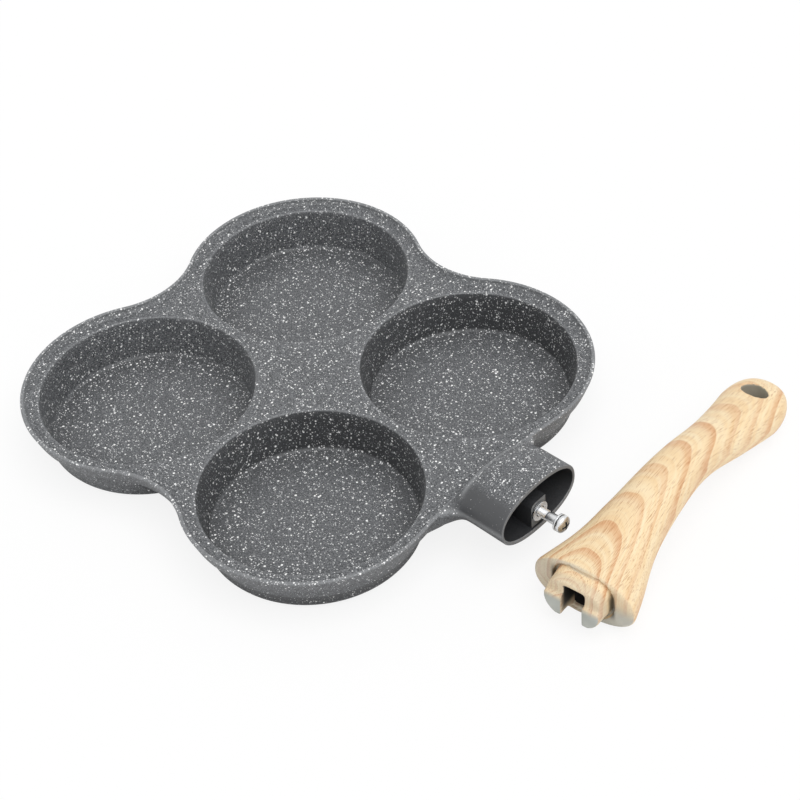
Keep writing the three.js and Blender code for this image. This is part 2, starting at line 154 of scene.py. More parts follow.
def smooth_table(table: dict[float, float], x: float) -> float:
    """Value between the stations of a table, on a cubic that passes through them.

    Args:
        table: Values by distance, in rising order.
        x: Distance; past the ends the end value holds.

    Returns:
        The value there.
    """
    at = list(table)
    values = list(table.values())
    if x <= at[0] or x >= at[-1]:
        return values[0] if x <= at[0] else values[-1]
    i = next(n for n in range(1, len(at)) if x <= at[n])
    low, high = at[i - 1], at[i]
    before, value_before = (at[i - 2], values[i - 2]) if i > 1 else (high, values[i])
    after, value_after = (at[i + 1], values[i + 1]) if i + 1 < len(at) else (low, values[i - 1])
    half = (high - low) / 2
    back, on = half / (low - before), half / (after - high)
    p = (x - low) / (high - low)
    return (
        value_before * back * (-p ** 3 + 2 * p ** 2 - p)
        + values[i - 1] * ((1 + back) * p ** 3 - (1.5 + 2 * back) * p ** 2 - (0.5 - back) * p + 1)
        + values[i] * (-(1 + on) * p ** 3 + (1.5 + on) * p ** 2 + 0.5 * p)
        + value_after * on * (p ** 3 - p ** 2)
    )


def ease_between(value: np.ndarray | float, start: float, end: float) -> np.ndarray | float:
    """Smooth step from 0 at the start to 1 at the end."""
    part = np.clip((value - start) / (end - start), 0, 1)
    return part * part * (3 - 2 * part)


@dataclass(frozen=True)
class Fade:
    """A smooth change from 0 at one value to 1 at another."""

    start: float
    end: float

    def at(self, value: float) -> float:
        """How far the change has gone at a value."""
        return ease_between(value, self.start, self.end)


def oval_ring(
    x: float, z: float, half_width: float, half_height: float, sides: int, power: float
) -> np.ndarray:
    """Points round an oval across the X axis.

    Args:
        x: Place along X.
        z: Height of its middle.
        half_width: Reach along Y.
        half_height: Reach along Z.
        sides: Number of points.
        power: 2 makes an ellipse, more makes it squarer.

    Returns:
        An array of points.
    """
    angle = np.linspace(0, 2 * math.pi, sides, endpoint=False)
    across = half_width * np.sign(np.cos(angle)) * np.abs(np.cos(angle)) ** (2 / power)
    up = half_height * np.sign(np.sin(angle)) * np.abs(np.sin(angle)) ** (2 / power)
    return np.column_stack([np.full(sides, x), across, z + up])


def turned_ring(x: float, radius: float, sides: int) -> np.ndarray:
    """Points round a circle about the X axis."""
    return oval_ring(x, 0, radius, radius, sides, 2)


def new_piece(name: str, points: Sequence, faces: Sequence) -> Piece:
    """Object with a welded mesh whose faces point outwards.

    Args:
        name: Object name.
        points: Vertices.
        faces: Faces as vertex numbers.

    Returns:
        The object, at the origin.
    """
    mesh = bpy.data.meshes.new(name)
    mesh.from_pydata([tuple(map(float, p)) for p in points], [], [tuple(f) for f in faces])
    weld(mesh)
    piece = bpy.data.objects.new(name, mesh)
    bpy.context.scene.collection.objects.link(piece)
    return piece


def weld(mesh: Mesh, distance: float = 1e-4) -> None:
    """Join vertices that touch and turn the faces outwards.

    Args:
        mesh: Mesh to change.
        distance: Vertices closer than this become one.
    """
    work = bmesh.new()
    work.from_mesh(mesh)
    bmesh.ops.remove_doubles(work, verts=work.verts, dist=distance)
    bmesh.ops.dissolve_degenerate(work, edges=work.edges, dist=distance / 2)
    bmesh.ops.recalc_face_normals(work, faces=work.faces)
    work.to_mesh(mesh)
    work.free()


def keep_largest(mesh: Mesh) -> None:
    """Delete every loose part but the largest, such as a pocket shut in where two shapes join.

    Args:
        mesh: Mesh to change.
    """
    form = bmesh.new()
    form.from_mesh(mesh)
    left = set(form.faces)
    parts = []
    while left:
        part = []
        edge_of_part = [left.pop()]
        while edge_of_part:
            face = edge_of_part.pop()
            part.append(face)
            near = {other for edge in face.edges for other in edge.link_faces} & left
            left -= near
            edge_of_part.extend(near)
        parts.append(part)
    parts.sort(key=len)
    bmesh.ops.delete(form, geom=[face for part in parts[:-1] for face in part], context="FACES")
    form.to_mesh(mesh)
    form.free()


def strip_faces(rows: int, columns: int, closed: bool) -> list[tuple[int, ...]]:
    """Quads of a grid of points stored row by row.

    Args:
        rows: Number of rows.
        columns: Points in a row.
        closed: Whether each row joins up with its start.

    Returns:
        Faces as vertex numbers.
    """
    wide = columns if closed else columns - 1
    corners = ((0, 0), (0, 1), (1, 1), (1, 0))
    return [
        tuple((row + down) * columns + (column + right) % columns for down, right in corners)
        for row in range(rows - 1)
        for column in range(wide)
    ]


def loft(name: str, rings: Grid) -> Piece:
    """Closed solid through rings of points, with its ends filled.

    Args:
        name: Object name.
        rings: Rings with the same number of points.

    Returns:
        The object.
    """
    count = len(rings[0])
    faces: list = strip_faces(len(rings), count, True)
    faces.append(tuple(range(count)))
    faces.append(tuple(range((len(rings) - 1) * count, len(rings) * count)))
    return new_piece(name, np.concatenate(rings), faces)


def block(name: str, low: Point, high: Point) -> Piece:
    """Box between two corners."""
    around = ((low[1], low[2]), (high[1], low[2]), (high[1], high[2]), (low[1], high[2]))
    return loft(name, [np.array([(x, y, z) for y, z in around]) for x in (low[0], high[0])])


def settle(piece: Piece) -> None:
    """Turn a piece's modifiers into its plain mesh.

    Args:
        piece: Piece to change.
    """
    graph = bpy.context.evaluated_depsgraph_get()
    mesh = bpy.data.meshes.new_from_object(piece.evaluated_get(graph))
    old = piece.data
    piece.modifiers.clear()
    piece.data = mesh
    bpy.data.meshes.remove(old)
    mesh.name = piece.name


def combine(base: Piece, other: Piece, how: Cut) -> None:
    """Add a solid to a piece or take it away, and drop the solid.

    Args:
        base: Piece that changes.
        other: Solid that acts on it.
        how: What it does.
    """
    modifier = base.modifiers.new("combine", "BOOLEAN")
    modifier.operation = how.value
    modifier.solver = "EXACT"
    modifier.object = other
    settle(base)
    bpy.data.objects.remove(other)


def grown(name: str, tree: Tree, values: dict[str, object]) -> Piece:
    """Plain mesh object from a geometry node tree.

    Args:
        name: Object name.
        tree: Tree with named inputs.
        values: Value for each named input.

    Returns:
        The object, with the modifier gone.
    """
    piece = bpy.data.objects.new(name, bpy.data.meshes.new(name))
    bpy.context.scene.collection.objects.link(piece)
    modifier = piece.modifiers.new("grow", "NODES")
    modifier.node_group = tree
    for item in tree.interface.items_tree:
        if item.in_out == "INPUT" and item.name in values:
            modifier[item.identifier] = values[item.name]
    settle(piece)
    return piece


def node_group(name: str, inputs: dict[str, str]) -> Tree:
    """Empty geometry node tree with named inputs and a geometry output.

    Args:
        name: Tree name.
        inputs: Socket type by input name.

    Returns:
        The tree.
    """
    tree = bpy.data.node_groups.new(name, "GeometryNodeTree")
    for label, kind in inputs.items():
        tree.interface.new_socket(label, in_out="INPUT", socket_type=kind)
    tree.interface.new_socket("Geometry", in_out="OUTPUT", socket_type="NodeSocketGeometry")
    return tree


def place(piece: Piece, where: Vector, turn: float = 0.0) -> None:
    """Put a mesh drawn in millimetres where it belongs in the row frame.

    Args:
        piece: Piece to change.
        where: Place of its own origin, in metres.
        turn: Turn about Z in radians.
    """
    turned = Matrix.Translation(where) @ Matrix.Rotation(turn, 4, "Z")
    piece.data.transform(turned @ Matrix.Scale(MM, 4))
    piece.data.update()


def soften(piece: Piece, angle: float) -> None:
    """Shade a piece smooth, with edges sharper than an angle in degrees kept crisp."""
    piece.data.shade_smooth()
    piece.data.set_sharp_from_angle(angle=math.radians(angle))


@dataclass(frozen=True)
class Finish:
    """A named surface finish that draws its own shader nodes."""

    name: str

    def material(self) -> bpy.types.Material:
        """The finish as a material, made once.

        Returns:
            The material.
        """
        made = bpy.data.materials.get(self.name)
        if made is None:
            made = bpy.data.materials.new(self.name)
            made.use_nodes = True
            made.node_tree.nodes.clear()
            self.draw(made.node_tree)
        return made

    def draw(self, tree: Tree) -> None:
        """Add the finish's nodes to an empty tree."""
        raise NotImplementedError

    def close(self, tree: Tree, inputs: dict[str, object]) -> None:
        """End the tree in a shader with the given inputs, and an output."""
        surface = add_node(tree, "BsdfPrincipled", inputs)
        add_node(tree, "OutputMaterial", {"Surface": surface})


@dataclass(frozen=True)
class Fleck:
    """One size of sprayed speck: spacing and radius in millimetres, share of places with one, and colour."""

    spacing: float
    radius: float
    share: float
    colour: str


@dataclass(frozen=True)
class SprayedCoat(Finish):
    """Baked non-stick coat: a mottled grey that gives the eye a stone surface through layers of pale specks.

    The finest specks are drawn about twice their true size, because they are too fine to show otherwise.
    Where the spray did not reach, the plain undercoat is left. Low in the cups a darker tone is painted as
    shade, and on raised edges a paler tone is painted as a highlight. Sizes are millimetres.
    """

    dark: str = "#4b4d50"
    light: str = "#66686b"
    plain: str = "#48494b"
    # Painted shade: the darker tone low in the cups.
    deep: str = "#37383a"
    # Painted highlight: the paler tone on raised edges.
    thin: str = "#a8aaac"
    mottle: float = 0.7
    flecks: tuple[Fleck, ...] = ()
    ragged: float = 0.4
    ragged_grain: float = 0.6
    soft_edge: float = 0.12
    side_share: float = 0.6
    missed_loss: float = 0.6
    roughness: float = 0.46
    roughness_swing: float = 0.08
    grain: float = 0.05

    def draw(self, tree: Tree) -> None:
        """Add mottle, painted shade and highlights, specks, roughness changes and an orange-peel bump.

        Args:
            tree: Empty tree that gets the nodes.
        """
        add = partial(add_node, tree)
        spot = add("TexCoord", out="Object")
        up = add("SeparateXYZ", {0: add("NewGeometry", out="Normal")}, out="Z")
        tilt = {"Value": up, "From Min": -0.75, "From Max": 0.1, "To Min": self.side_share}
        sprayed = add("MapRange", tilt, **EASED)
        states = ("unsprayed", "painted_cup_shade", "painted_edge_highlight")
        # The second attribute carries painted shade low in the cups, the third a painted highlight on raised
        # edges.
        missed, cup_shade, edge = (add("Attribute", out="Fac", attribute_name=state) for state in states)
        hit = add("Math", {0: missed, 1: -self.missed_loss, 2: 1.0}, operation="MULTIPLY_ADD")
        sprayed = add("Math", {0: sprayed, 1: hit}, operation="MULTIPLY")
        cloud = add("TexNoise", {"Vector": spot, "Scale": 1 / (self.mottle * MM), "Detail": 3.0})
        spread = add("MapRange", {"Value": cloud, "From Min": 0.32, "From Max": 0.68})
        colour = hex_colour(self.dark)
        for share, tone in ((spread, self.light), (missed, self.plain), (cup_shade, self.deep), (edge, self.thin)):
            colour = add("Mix", {0: share, 6: colour, 7: hex_colour(tone)}, **TINT)
        grit = {"Vector": spot, "Scale": 1 / (self.ragged_grain * MM), "Detail": 1.0}
        pull = {0: add("TexNoise", grit, out="Color"), 1: (self.ragged * MM,) * 3, 2: spot}
        torn = add("VectorMath", pull, operation="MULTIPLY_ADD")
        height = cloud
        for fleck in self.flecks:
            cells = add("TexVoronoi", {"Vector": torn, "Scale": 1 / (fleck.spacing * MM)})
            chance = add("SeparateColor", {0: cells.node.outputs["Color"]})
            sizes = {"Value": chance, "From Min": 1 - fleck.share, "To Max": fleck.radius / fleck.spacing}
            reach = add("Math", {0: add("MapRange", sizes), 1: sprayed}, operation="MULTIPLY")
            inside = add("Math", {0: reach, 1: cells}, operation="SUBTRACT")
            steep = {0: inside, 1: fleck.spacing / self.soft_edge}
            mask = add("Math", steep, operation="MULTIPLY", use_clamp=True)
            colour = add("Mix", {0: mask, 6: colour, 7: hex_colour(fleck.colour)}, **TINT)
            height = add("Math", {0: height, 1: mask}, operation="ADD")
        low, high = self.roughness - self.roughness_swing, self.roughness + self.roughness_swing
        rough = add("MapRange", {"Value": cloud, "To Min": low, "To Max": high})
        bump = add("Bump", {"Height": height, "Strength": 0.5, "Distance": self.grain * MM})
        self.close(tree, {"Base Color": colour, "Roughness": rough, "IOR": 1.5, "Normal": bump})


@dataclass(frozen=True)
class TurnedBase(Finish):
    """Machined underside of a cup: dark coat with fine lathe rings, painted paler along each ring as a glint.
    """

    colour: str = "#55575a"
    # Paler tone for random wear and for the painted glint along each ring.
    worn: str = "#7c7d80"
    ring: float = 1.6
    ring_depth: float = 0.06
    ring_shine: float = 0.3
    patch: float = 4.545

    def draw(self, tree: Tree) -> None:
        """Add lathe rings around each cup's middle, with a painted glint along each.

        Args:
            tree: Empty tree that gets the nodes.
        """
        add = partial(add_node, tree)
        out = add("Attribute", out="Fac", attribute_name="from_middle")
        phase = add("Math", {0: out, 1: 2 * math.pi / self.ring}, operation="MULTIPLY")
        wave = add("Math", {0: phase}, operation="SINE")
        spot = add("TexCoord", out="Object")
        wear = add("TexNoise", {"Vector": spot, "Scale": 1 / (self.patch * MM), "Detail": 4.0})
        rough = add("MapRange", {"Value": wear, "To Min": 0.35, "To Max": 0.6})
        glint = {0: wave, 1: self.ring_shine, 2: wear}
        shine = add("Math", glint, operation="MULTIPLY_ADD", use_clamp=True)
        colour = add("Mix", {0: shine, 6: hex_colour(self.colour), 7: hex_colour(self.worn)}, **TINT)
        bump = add("Bump", {"Height": wave, "Strength": 0.6, "Distance": self.ring_depth * MM})
        self.close(tree, {"Base Color": colour, "Roughness": rough, "Metallic": 0.3, "Normal": bump})


@dataclass(frozen=True)
class BrightZinc(Finish):
    """Bright zinc plate on steel: mirror-like and faintly cloudy, so it picks up the room around it."""

    colour: str = "#eceded"
    cloudy: str = "#d6d8db"
    roughness: float = 0.24
    roughness_swing: Pair = (-0.06, 0.12)
    patch: float = 1.111
    ripple: float = 0.03

    def draw(self, tree: Tree) -> None:
        """Add cloudy roughness and a slight ripple.

        Args:
            tree: Empty tree that gets the nodes.
        """
        add = partial(add_node, tree)
        spot = add("TexCoord", out="Object")
        cloud = add("TexNoise", {"Vector": spot, "Scale": 1 / (self.patch * MM), "Detail": 4.0})
        low, high = (self.roughness + swing for swing in self.roughness_swing)
        rough = add("MapRange", {"Value": cloud, "To Min": low, "To Max": high})
        tint = add("Mix", {0: cloud, 6: hex_colour(self.colour), 7: hex_colour(self.cloudy)}, **TINT)
        bump = add("Bump", {"Height": cloud, "Strength": 0.25, "Distance": self.ripple * MM})
        self.close(tree, {"Base Color": tint, "Metallic": 1.0, "Roughness": rough, "Normal": bump})


@dataclass(frozen=True)
class WoodPrint(Finish):
    """Wood-look film on moulded plastic: cream with tan arches of growth rings and fine fibre.

    The film thins out at the front end, where the grey-green undercoat shows. Distances are millimetres along
    and across the handle, and the two rates are how often a pattern repeats in one, along, across and up.
    """

    cream: str = "#f8e3bd"
    straw: str = "#f2d4a6"
    tan: str = "#d9a273"
    fibre: str = "#b98356"
    undercoat: str = "#bbbdb6"
    worn: str = "#a3a69e"
    # Painted shade in the slot and in the crease beside the tongue.
    shade: str = "#1b1a18"
    heart_across: float = 3.3
    arch_bend: float = 0.0233
    arch_power: float = 2.6
    leg_side: float = 13.0
    ring_rate: float = 0.1218
    ring_power: float = 0.83
    front_rate: float = 0.28
    wander: float = 5.0
    wander_rate: Point = (0.04, 0.09, 0.09)
    thread_rate: Point = (0.16, 2.3, 2.3)
    band_drift: float = 0.01
    strength_start: float = 0.2 * math.pi
    fibre_depth: float = 0.08

    def ring_number(self, tree: Tree, place_on: Socket, wobble: Socket) -> Socket:
        """Number of the growth ring at a place, in arches that open towards the front.

        Args:
            tree: Tree that gets the nodes.
            place_on: Place along, across and above the handle's middle line.
            wobble: Noise that makes the rings wander.

        Returns:
            The number, with the share of the way to the next ring as its fraction.
        """
        add = partial(add_node, tree)
        along = add("SeparateXYZ", {0: place_on}, out="X")
        across, above = along.node.outputs["Y"], along.node.outputs["Z"]
        side = add("Math", {0: across, 1: self.heart_across}, operation="SUBTRACT")
        side = add("Math", {0: side}, operation="ABSOLUTE")
        below = add("Math", {0: above, 1: 0.0}, operation="MINIMUM")
        side = add("Math", {0: side, 1: below}, operation="SUBTRACT")
        bend = add("Math", {0: side, 1: self.arch_power}, operation="POWER")
        bend = add("Math", {0: bend, 1: self.arch_bend}, operation="MULTIPLY")
        reach = self.arch_bend * self.leg_side ** self.arch_power
        slope = self.arch_power * reach / self.leg_side
        leg = {0: side, 1: slope, 2: reach - slope * self.leg_side}
        straight = add("Math", leg, operation="MULTIPLY_ADD")
        outer = add("Math", {0: side, 1: self.leg_side}, operation="GREATER_THAN")
        arch = add("Math", {0: along, 1: add("Mix", {0: outer, 2: bend, 3: straight})}, operation="ADD")
        phase = add("Math", {0: wobble, 1: self.wander, 2: arch}, operation="MULTIPLY_ADD")
        phase = add("Math", {0: phase, 1: self.wander / 2}, operation="SUBTRACT")
        behind = add("Math", {0: phase, 1: 0.0}, operation="MAXIMUM")
        ahead = add("Math", {0: phase, 1: 0.0}, operation="MINIMUM")
        grown_to = add("Math", {0: behind, 1: self.ring_power}, operation="POWER")
        front = add("Math", {0: ahead, 1: self.front_rate}, operation="MULTIPLY")
        return add("Math", {0: grown_to, 1: self.ring_rate, 2: front}, operation="MULTIPLY_ADD")

    def draw(self, tree: Tree) -> None:
        """Add growth arches along the handle, fibre, the front's undercoat and painted shade in slot and
        crease.

        Args:
            tree: Empty tree that gets the nodes.
        """
        add = partial(add_node, tree)
        grain = add("Attribute", out="Vector", attribute_name="grain")
        drawn_out = add("VectorMath", {0: grain, 1: self.wander_rate}, operation="MULTIPLY")
        wobble = add("TexNoise", {"Vector": drawn_out, "Scale": 1.0, "Detail": 1.0})
        ring = self.ring_number(tree, grain, wobble)
        part = add("Math", {0: ring}, operation="FRACT")
        number = add("Math", {0: ring}, operation="FLOOR")
        swing = add("Math", {0: number, 1: QUARTER, 2: self.strength_start}, operation="MULTIPLY_ADD")
        swing = add("Math", {0: swing}, operation="SINE")
        strength = add("MapRange", {"Value": swing, "From Min": -1.0, "To Min": 0.45, "To Max": 0.95})
        rise = add("MapRange", {"Value": part, "From Min": 0.45, "From Max": 0.95}, **EASED)
        fall = add("MapRange", {"Value": part, "From Min": 1.0, "From Max": 0.95}, **EASED)
        threads = add("VectorMath", {0: grain, 1: self.thread_rate}, operation="MULTIPLY")
        streak = add("TexNoise", {"Vector": threads, "Scale": 1.0, "Detail": 4.0, "Distortion": 0.6})
        breaks = {"Value": streak, "From Min": 0.35, "From Max": 0.65, "To Min": 0.6, "To Max": 1.2}
        late = rise
        for share in (fall, strength, add("MapRange", breaks)):
            late = add("Math", {0: late, 1: share}, operation="MULTIPLY")
        drift = add("SeparateXYZ", {0: grain}, out="X")
        drift = add("Math", {0: drift, 1: self.band_drift}, operation="MULTIPLY")
        bands = add("CombineXYZ", {0: ring, 1: drift})
        tone = add("TexNoise", {"Vector": bands, "Scale": 5.0, "Detail": 2.0})
        tone = add("MapRange", {"Value": tone, "From Min": 0.35, "From Max": 0.68})
        hair = add("MapRange", {"Value": streak, "From Min": 0.53, "From Max": 0.7, "To Max": 0.66})
        rubbed = add("MapRange", {"Value": wobble, "From Min": 0.3, "From Max": 0.7})
        under = add("Mix", {0: rubbed, 6: hex_colour(self.undercoat), 7: hex_colour(self.worn)}, **TINT)
        bare, dark = (add("Attribute", out="Fac", attribute_name=state) for state in ("bare", "in_shade"))
        colour = hex_colour(self.cream)
        layers = (
            (tone, hex_colour(self.straw)),
            (late, hex_colour(self.tan)),
            (hair, hex_colour(self.fibre)),
            (bare, under),
            (dark, hex_colour(self.shade)),
        )
        for share, layer in layers:
            colour = add("Mix", {0: share, 6: colour, 7: layer}, **TINT)
        rough = add("MapRange", {"Value": streak, "To Min": 0.4, "To Max": 0.58})
        bump = add("Bump", {"Height": streak, "Strength": 0.25, "Distance": self.fibre_depth * MM})
        self.close(tree, {"Base Color": colour, "Roughness": rough, "IOR": 1.47, "Normal": bump})


@dataclass(frozen=True)
class PaleFloor(Finish):
    """Matt white sweep under the set: it shows white to the eye and keeps a faint shadow."""

    shown_share: float = 0.85

    def draw(self, tree: Tree) -> None:
        """Add a matt white that is partly plain white to the camera.

        Args:
            tree: Empty tree that gets the nodes.
        """
        matt = add_node(tree, "BsdfDiffuse", {"Color": hex_colour("#fbfbfb")})
        white = add_node(tree, "Emission", {"Color": hex_colour("#ffffff"), "Strength": 1.0})
        eye = add_node(tree, "LightPath", out="Is Camera Ray")
        share = add_node(tree, "Math", {0: eye, 1: self.shown_share}, operation="MULTIPLY")
        surface = add_node(tree, "MixShader", {0: share, 1: matt, 2: white})
        add_node(tree, "OutputMaterial", {"Surface": surface})


# Non-stick coat sprayed in layers, satin: grey stone with pale specks.
STONE_COAT = SprayedCoat(
    "stone_speckle_coat_satin",
    dark="#292b2d",
    light="#77797c",
    flecks=(
        Fleck(0.75, 0.36, 0.72, "#8f9193"),
        Fleck(0.95, 0.43, 0.82, "#e4e5e5"),
        Fleck(1.9, 0.64, 0.55, "#fdfdfc"),
    ),
)
# Matt undercoat inside the socket, which the spray did not reach, darkened to near-black
# as painted shade of the hollow.
SOCKET_COAT_AND_SHADE = SprayedCoat(
    "socket_inside_coat_and_painted_shade", dark="#202123", light="#313235", plain="#28292b", thin="#28292b", roughness=0.6
)
# Coat rubbed thin at the socket's mouth: a paler line that draws the opening.
EDGE_COAT = SprayedCoat(
    "socket_mouth_edge_worn", dark="#6d6f72", light="#8d8f92", plain="#77797c", thin="#85878a", roughness=0.42
)
# Cast aluminium under a thin coat on the post's face: a plain mid-grey behind the washer.
POST_COAT = SprayedCoat(
    "post_face_cast_grey", dark="#6a6c6e", light="#7f8183", plain="#747678", thin="#747678", roughness=0.5
)
# Turned and coated aluminium: fine rings under each cup, with a painted glint along each.
BASE_COAT = TurnedBase("cup_base_turned_rings")
# Bright zinc on steel: white highlights beside dark reflections.
ZINC = BrightZinc("bright_zinc_plate")
# The same plate, darker and rougher in the recess and between threads: painted shade
# that draws the cross and the thread.
ZINC_SHADED = BrightZinc("zinc_painted_shade_in_recesses", colour="#8f9194", cloudy="#6f7174", roughness=0.45)
# Printed film on moulded plastic under satin lacquer: pale wood with a soft shine.
WOOD = WoodPrint("wood_print_film_satin")
# Bare plastic deep in the handle, darkened to near-black as painted shade: a dark opening behind the tongue.
TUNNEL_SHADE = SprayedCoat("handle_tunnel_painted_shade", dark="#1d1c1a", light="#2b2a27", roughness=0.65)
# Matt paper sweep: white with a faint shadow.
FLOOR_WHITE = PaleFloor("white_sweep_matt")


def lay_finishes(
    piece: Piece, finishes: list[Finish], choose: Callable[[bpy.types.MeshPolygon], Finish]
) -> None:
    """Give each face of a piece its finish.

    Args:
        piece: Piece to change.
        finishes: Finishes in the order of its material slots.
        choose: Picks a face's finish.
    """
    piece.data.materials.clear()
    for finish in finishes:
        piece.data.materials.append(finish.material())
    for face in piece.data.polygons:
        face.material_index = finishes.index(choose(face))


def store_states(
    piece: Piece, names: tuple[str, ...], state: Callable[[Vector, Vector], tuple[float, ...]]
) -> None:
    """Store what its finishes read on each vertex of a piece.

    Args:
        piece: Piece to change.
        names: Attribute names.
        state: Their values from a vertex's place and direction.
    """
    states = [state(vertex.co, vertex.normal) for vertex in piece.data.vertices]
    for name, values in zip(names, zip(*states)):
        piece.data.attributes.new(name, "FLOAT", "POINT").data.foreach_set("value", values)


@dataclass
class PanCasting:
    """The cast pan: four cups in one rim, an oval socket on the +X side and a post inside it."""

    half_pitch: float = 56.0
    cup_rim: float = 53.3
    cup_floor: float = 50.2
    cup_depth: float = 22.3
    floor_thickness: float = 2.7
    cup_wall: float = 2.3
    outside_draft: float = 6.4
    floor_fillet: float = 2.2
    edge_round: float = 1.1
    base_round: float = 6.0
    lobe_radius: float = 62.1
    hollow_reach: float = 102.2
    socket_side_reach: float = 114.4
    lip_rise: float = 3.1
    lip_width: float = 1.9
    lip_fillet: float = 2.2
    lip_round: float = 0.7
    skirt_height: float = 7.8
    skirt_draft: float = 2.6
    skirt_wall: float = 1.8
    deck_thickness: float = 2.9
    hollow_gap: Fade = Fade(0.3, 3.3)
    crest_round: float = 0.5
    skirt_round: float = 0.3
    mouth_reach: float = 146.7
    socket_half_width: float = 26.0
    socket_half_height: float = 13.7
    socket_above_deck: float = 2.7
    socket_power: float = 2.25
    socket_wall: float = 2.3
    socket_side_wall: float = 1.5
    under_rise: float = 2.4
    root_reach: float = 99.0
    back_reach: float = 121.0
    shoulder_reach: float = 113.4
    ridge_reach: float = 118.2
    shoulder_length: float = 17.4
    shoulder_steps: int = 28
    tube_places: Pair = (136.0, 141.0)
    cavity_place: float = 139.0
    cavity_steps: int = 10
    shoulder_sink: float = 0.1
    root_flare: float = 17.0
    root_flare_length: float = 12.0
    root_flare_power: float = 2.8
    flare_height: Fade = Fade(26.0, 31.0)
    flare_tuck: float = 3.2
    flare_side: float = 42.0
    mouth_round: float = 0.5
    mouth_bevel: float = 0.3
    rim_tilt: float = 0.6
    mouth_lean: float = 0.07
    room_round_cup: float = 2.2
    post_width: float = 10.0
    post_above_screw: float = 6.4
    post_corner: float = 3.0
    post_setback: float = 0.5
    screw_below_deck: float = 0.8
    thread_hole: float = 2.8
    thread_hole_depth: float = 22.0
    bare_length: float = 12.0
    bare_near: Fade = Fade(13, 20)
    bare_far: Fade = Fade(19, 25)
    bare_tilt: Fade = Fade(0.0, 0.4)
    spray_extra: float = 0.15
    wall_tilt: Fade = Fade(0.5, 0.9)
    wall_top: float = 0.8
    # Painted shade low in the cups: darker towards the floor's edge, and on the walls of the cups on the
    # socket's side.
    floor_edge: Fade = Fade(30, 50)
    floor_dark: float = 0.55
    near_cups: Fade = Fade(-20, 20)
    near_wall_dark: float = 0.88
    root_along: Fade = Fade(100, 108)
    root_across: Fade = Fade(45, 60)
    root_climb: float = 1.6
    fillet_tilt: Fade = Fade(0.2, 0.7)
    fillet_spray: float = 0.25
    # Painted highlight: a paler band on the lip and the fillet under it, on each cup's brim, and in a line
    # across the socket's shoulder.
    lip_band: Fade = Fade(-1.2, -0.2)
    lip_highlight: float = 0.33
    brim_middle: float = 0.5
    brim_half_width: float = 0.9
    brim_drop: float = 1.3
    brim_highlight: float = 0.2
    ridge_bow: float = 1.7
    ridge_half_width: float = 2.2
    ridge_end: Fade = Fade(17, 25)
    ridge_tilt: float = 0.3
    ridge_highlight: float = 0.6
    lobe_steps: int = 90
    hollow_steps: int = 22
    line_steps: int = 24
    oval_sides: int = 120

    @property
    def deck(self) -> float:
        """Height of the deck between the cups."""
        return self.floor_thickness + self.cup_depth

    @property
    def socket_centre(self) -> float:
        """Height of the socket's middle."""
        return self.deck + self.socket_above_deck

    @property
    def screw_axis(self) -> float:
        """Height of the screw."""
        return self.deck - self.screw_below_deck

    @property
    def post_face(self) -> float:
        """Place of the post's front face along X."""
        return self.mouth_reach - self.post_setback

    @property
    def centre(self) -> Vector:
        """Middle of the four cups on the table, in the row frame.

        Returns:
            The place, in metres.
        """
        reach = (self.half_pitch + self.lobe_radius) * MM
        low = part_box("pan_body")[0]
        return Vector((low.x + reach, low.y + reach, low.z))

    def hollow(self, reach: float) -> tuple[float, float]:
        """Arc between two lobes that touches both.

        Args:
            reach: Its nearest distance to the pan's middle.

        Returns:
            Its radius, and its centre's distance from the pan's middle.
        """
        past = reach - self.half_pitch
        square = self.half_pitch ** 2 + past ** 2 - self.lobe_radius ** 2
        radius = square / (2 * (self.lobe_radius - past))
        return radius, reach + radius

    def outline(self, side: int, inset: float) -> np.ndarray:
        """One quarter of the rim's outline, from one hollow's middle to the next, moved inwards.

        Args:
            side: Quarter, counted from the socket's side.
            inset: Distance inwards.

        Returns:
            Points in the quarter's own frame, with its cup at (half_pitch, half_pitch).
        """
        reaches = [self.socket_side_reach] + [self.hollow_reach] * 3
        h = self.half_pitch
        radius_a, centre_a = self.hollow(reaches[side])
        radius_b, centre_b = self.hollow(reaches[(side + 1) % 4])
        lean_a = math.atan2(h, centre_a - h)
        lean_b = math.atan2(h, centre_b - h)
        first = arc((centre_a, 0), radius_a + inset, math.pi, math.pi - lean_a, self.hollow_steps)
        lobe = arc((h, h), self.lobe_radius - inset, -lean_a, QUARTER + lean_b, self.lobe_steps)
        last = arc((0, centre_b), radius_b + inset, lean_b - QUARTER, -QUARTER, self.hollow_steps)
        return np.array(first[:-1] + lobe + last[1:])

    def cell(self, outline: np.ndarray) -> np.ndarray:
        """Close a quarter's outline along the two lines between the cups.

        Args:
            outline: Points of the outline.

        Returns:
            The outline's points, then points in to the pan's middle and out again.
        """
        steps = np.linspace(0, 1, self.line_steps + 1)[:, None]
        inwards = outline[-1] * (1 - steps)
        outwards = outline[0] * steps
        return np.concatenate([outline, inwards[1:], outwards[1:-1]])

    def quarter_turn(self, side: int, rows: Grid) -> np.ndarray:
        """Turn rows of points from a quarter's frame into the pan's.

        Args:
            side: Quarter, counted from the socket's side.
            rows: Rows of points in the quarter's frame.

        Returns:
            All the points in one array.
        """
        angle = side * QUARTER
        c, s = math.cos(angle), math.sin(angle)
        spin = np.array([[c, s, 0], [-s, c, 0], [0, 0, 1]])
        return np.concatenate(rows) @ spin

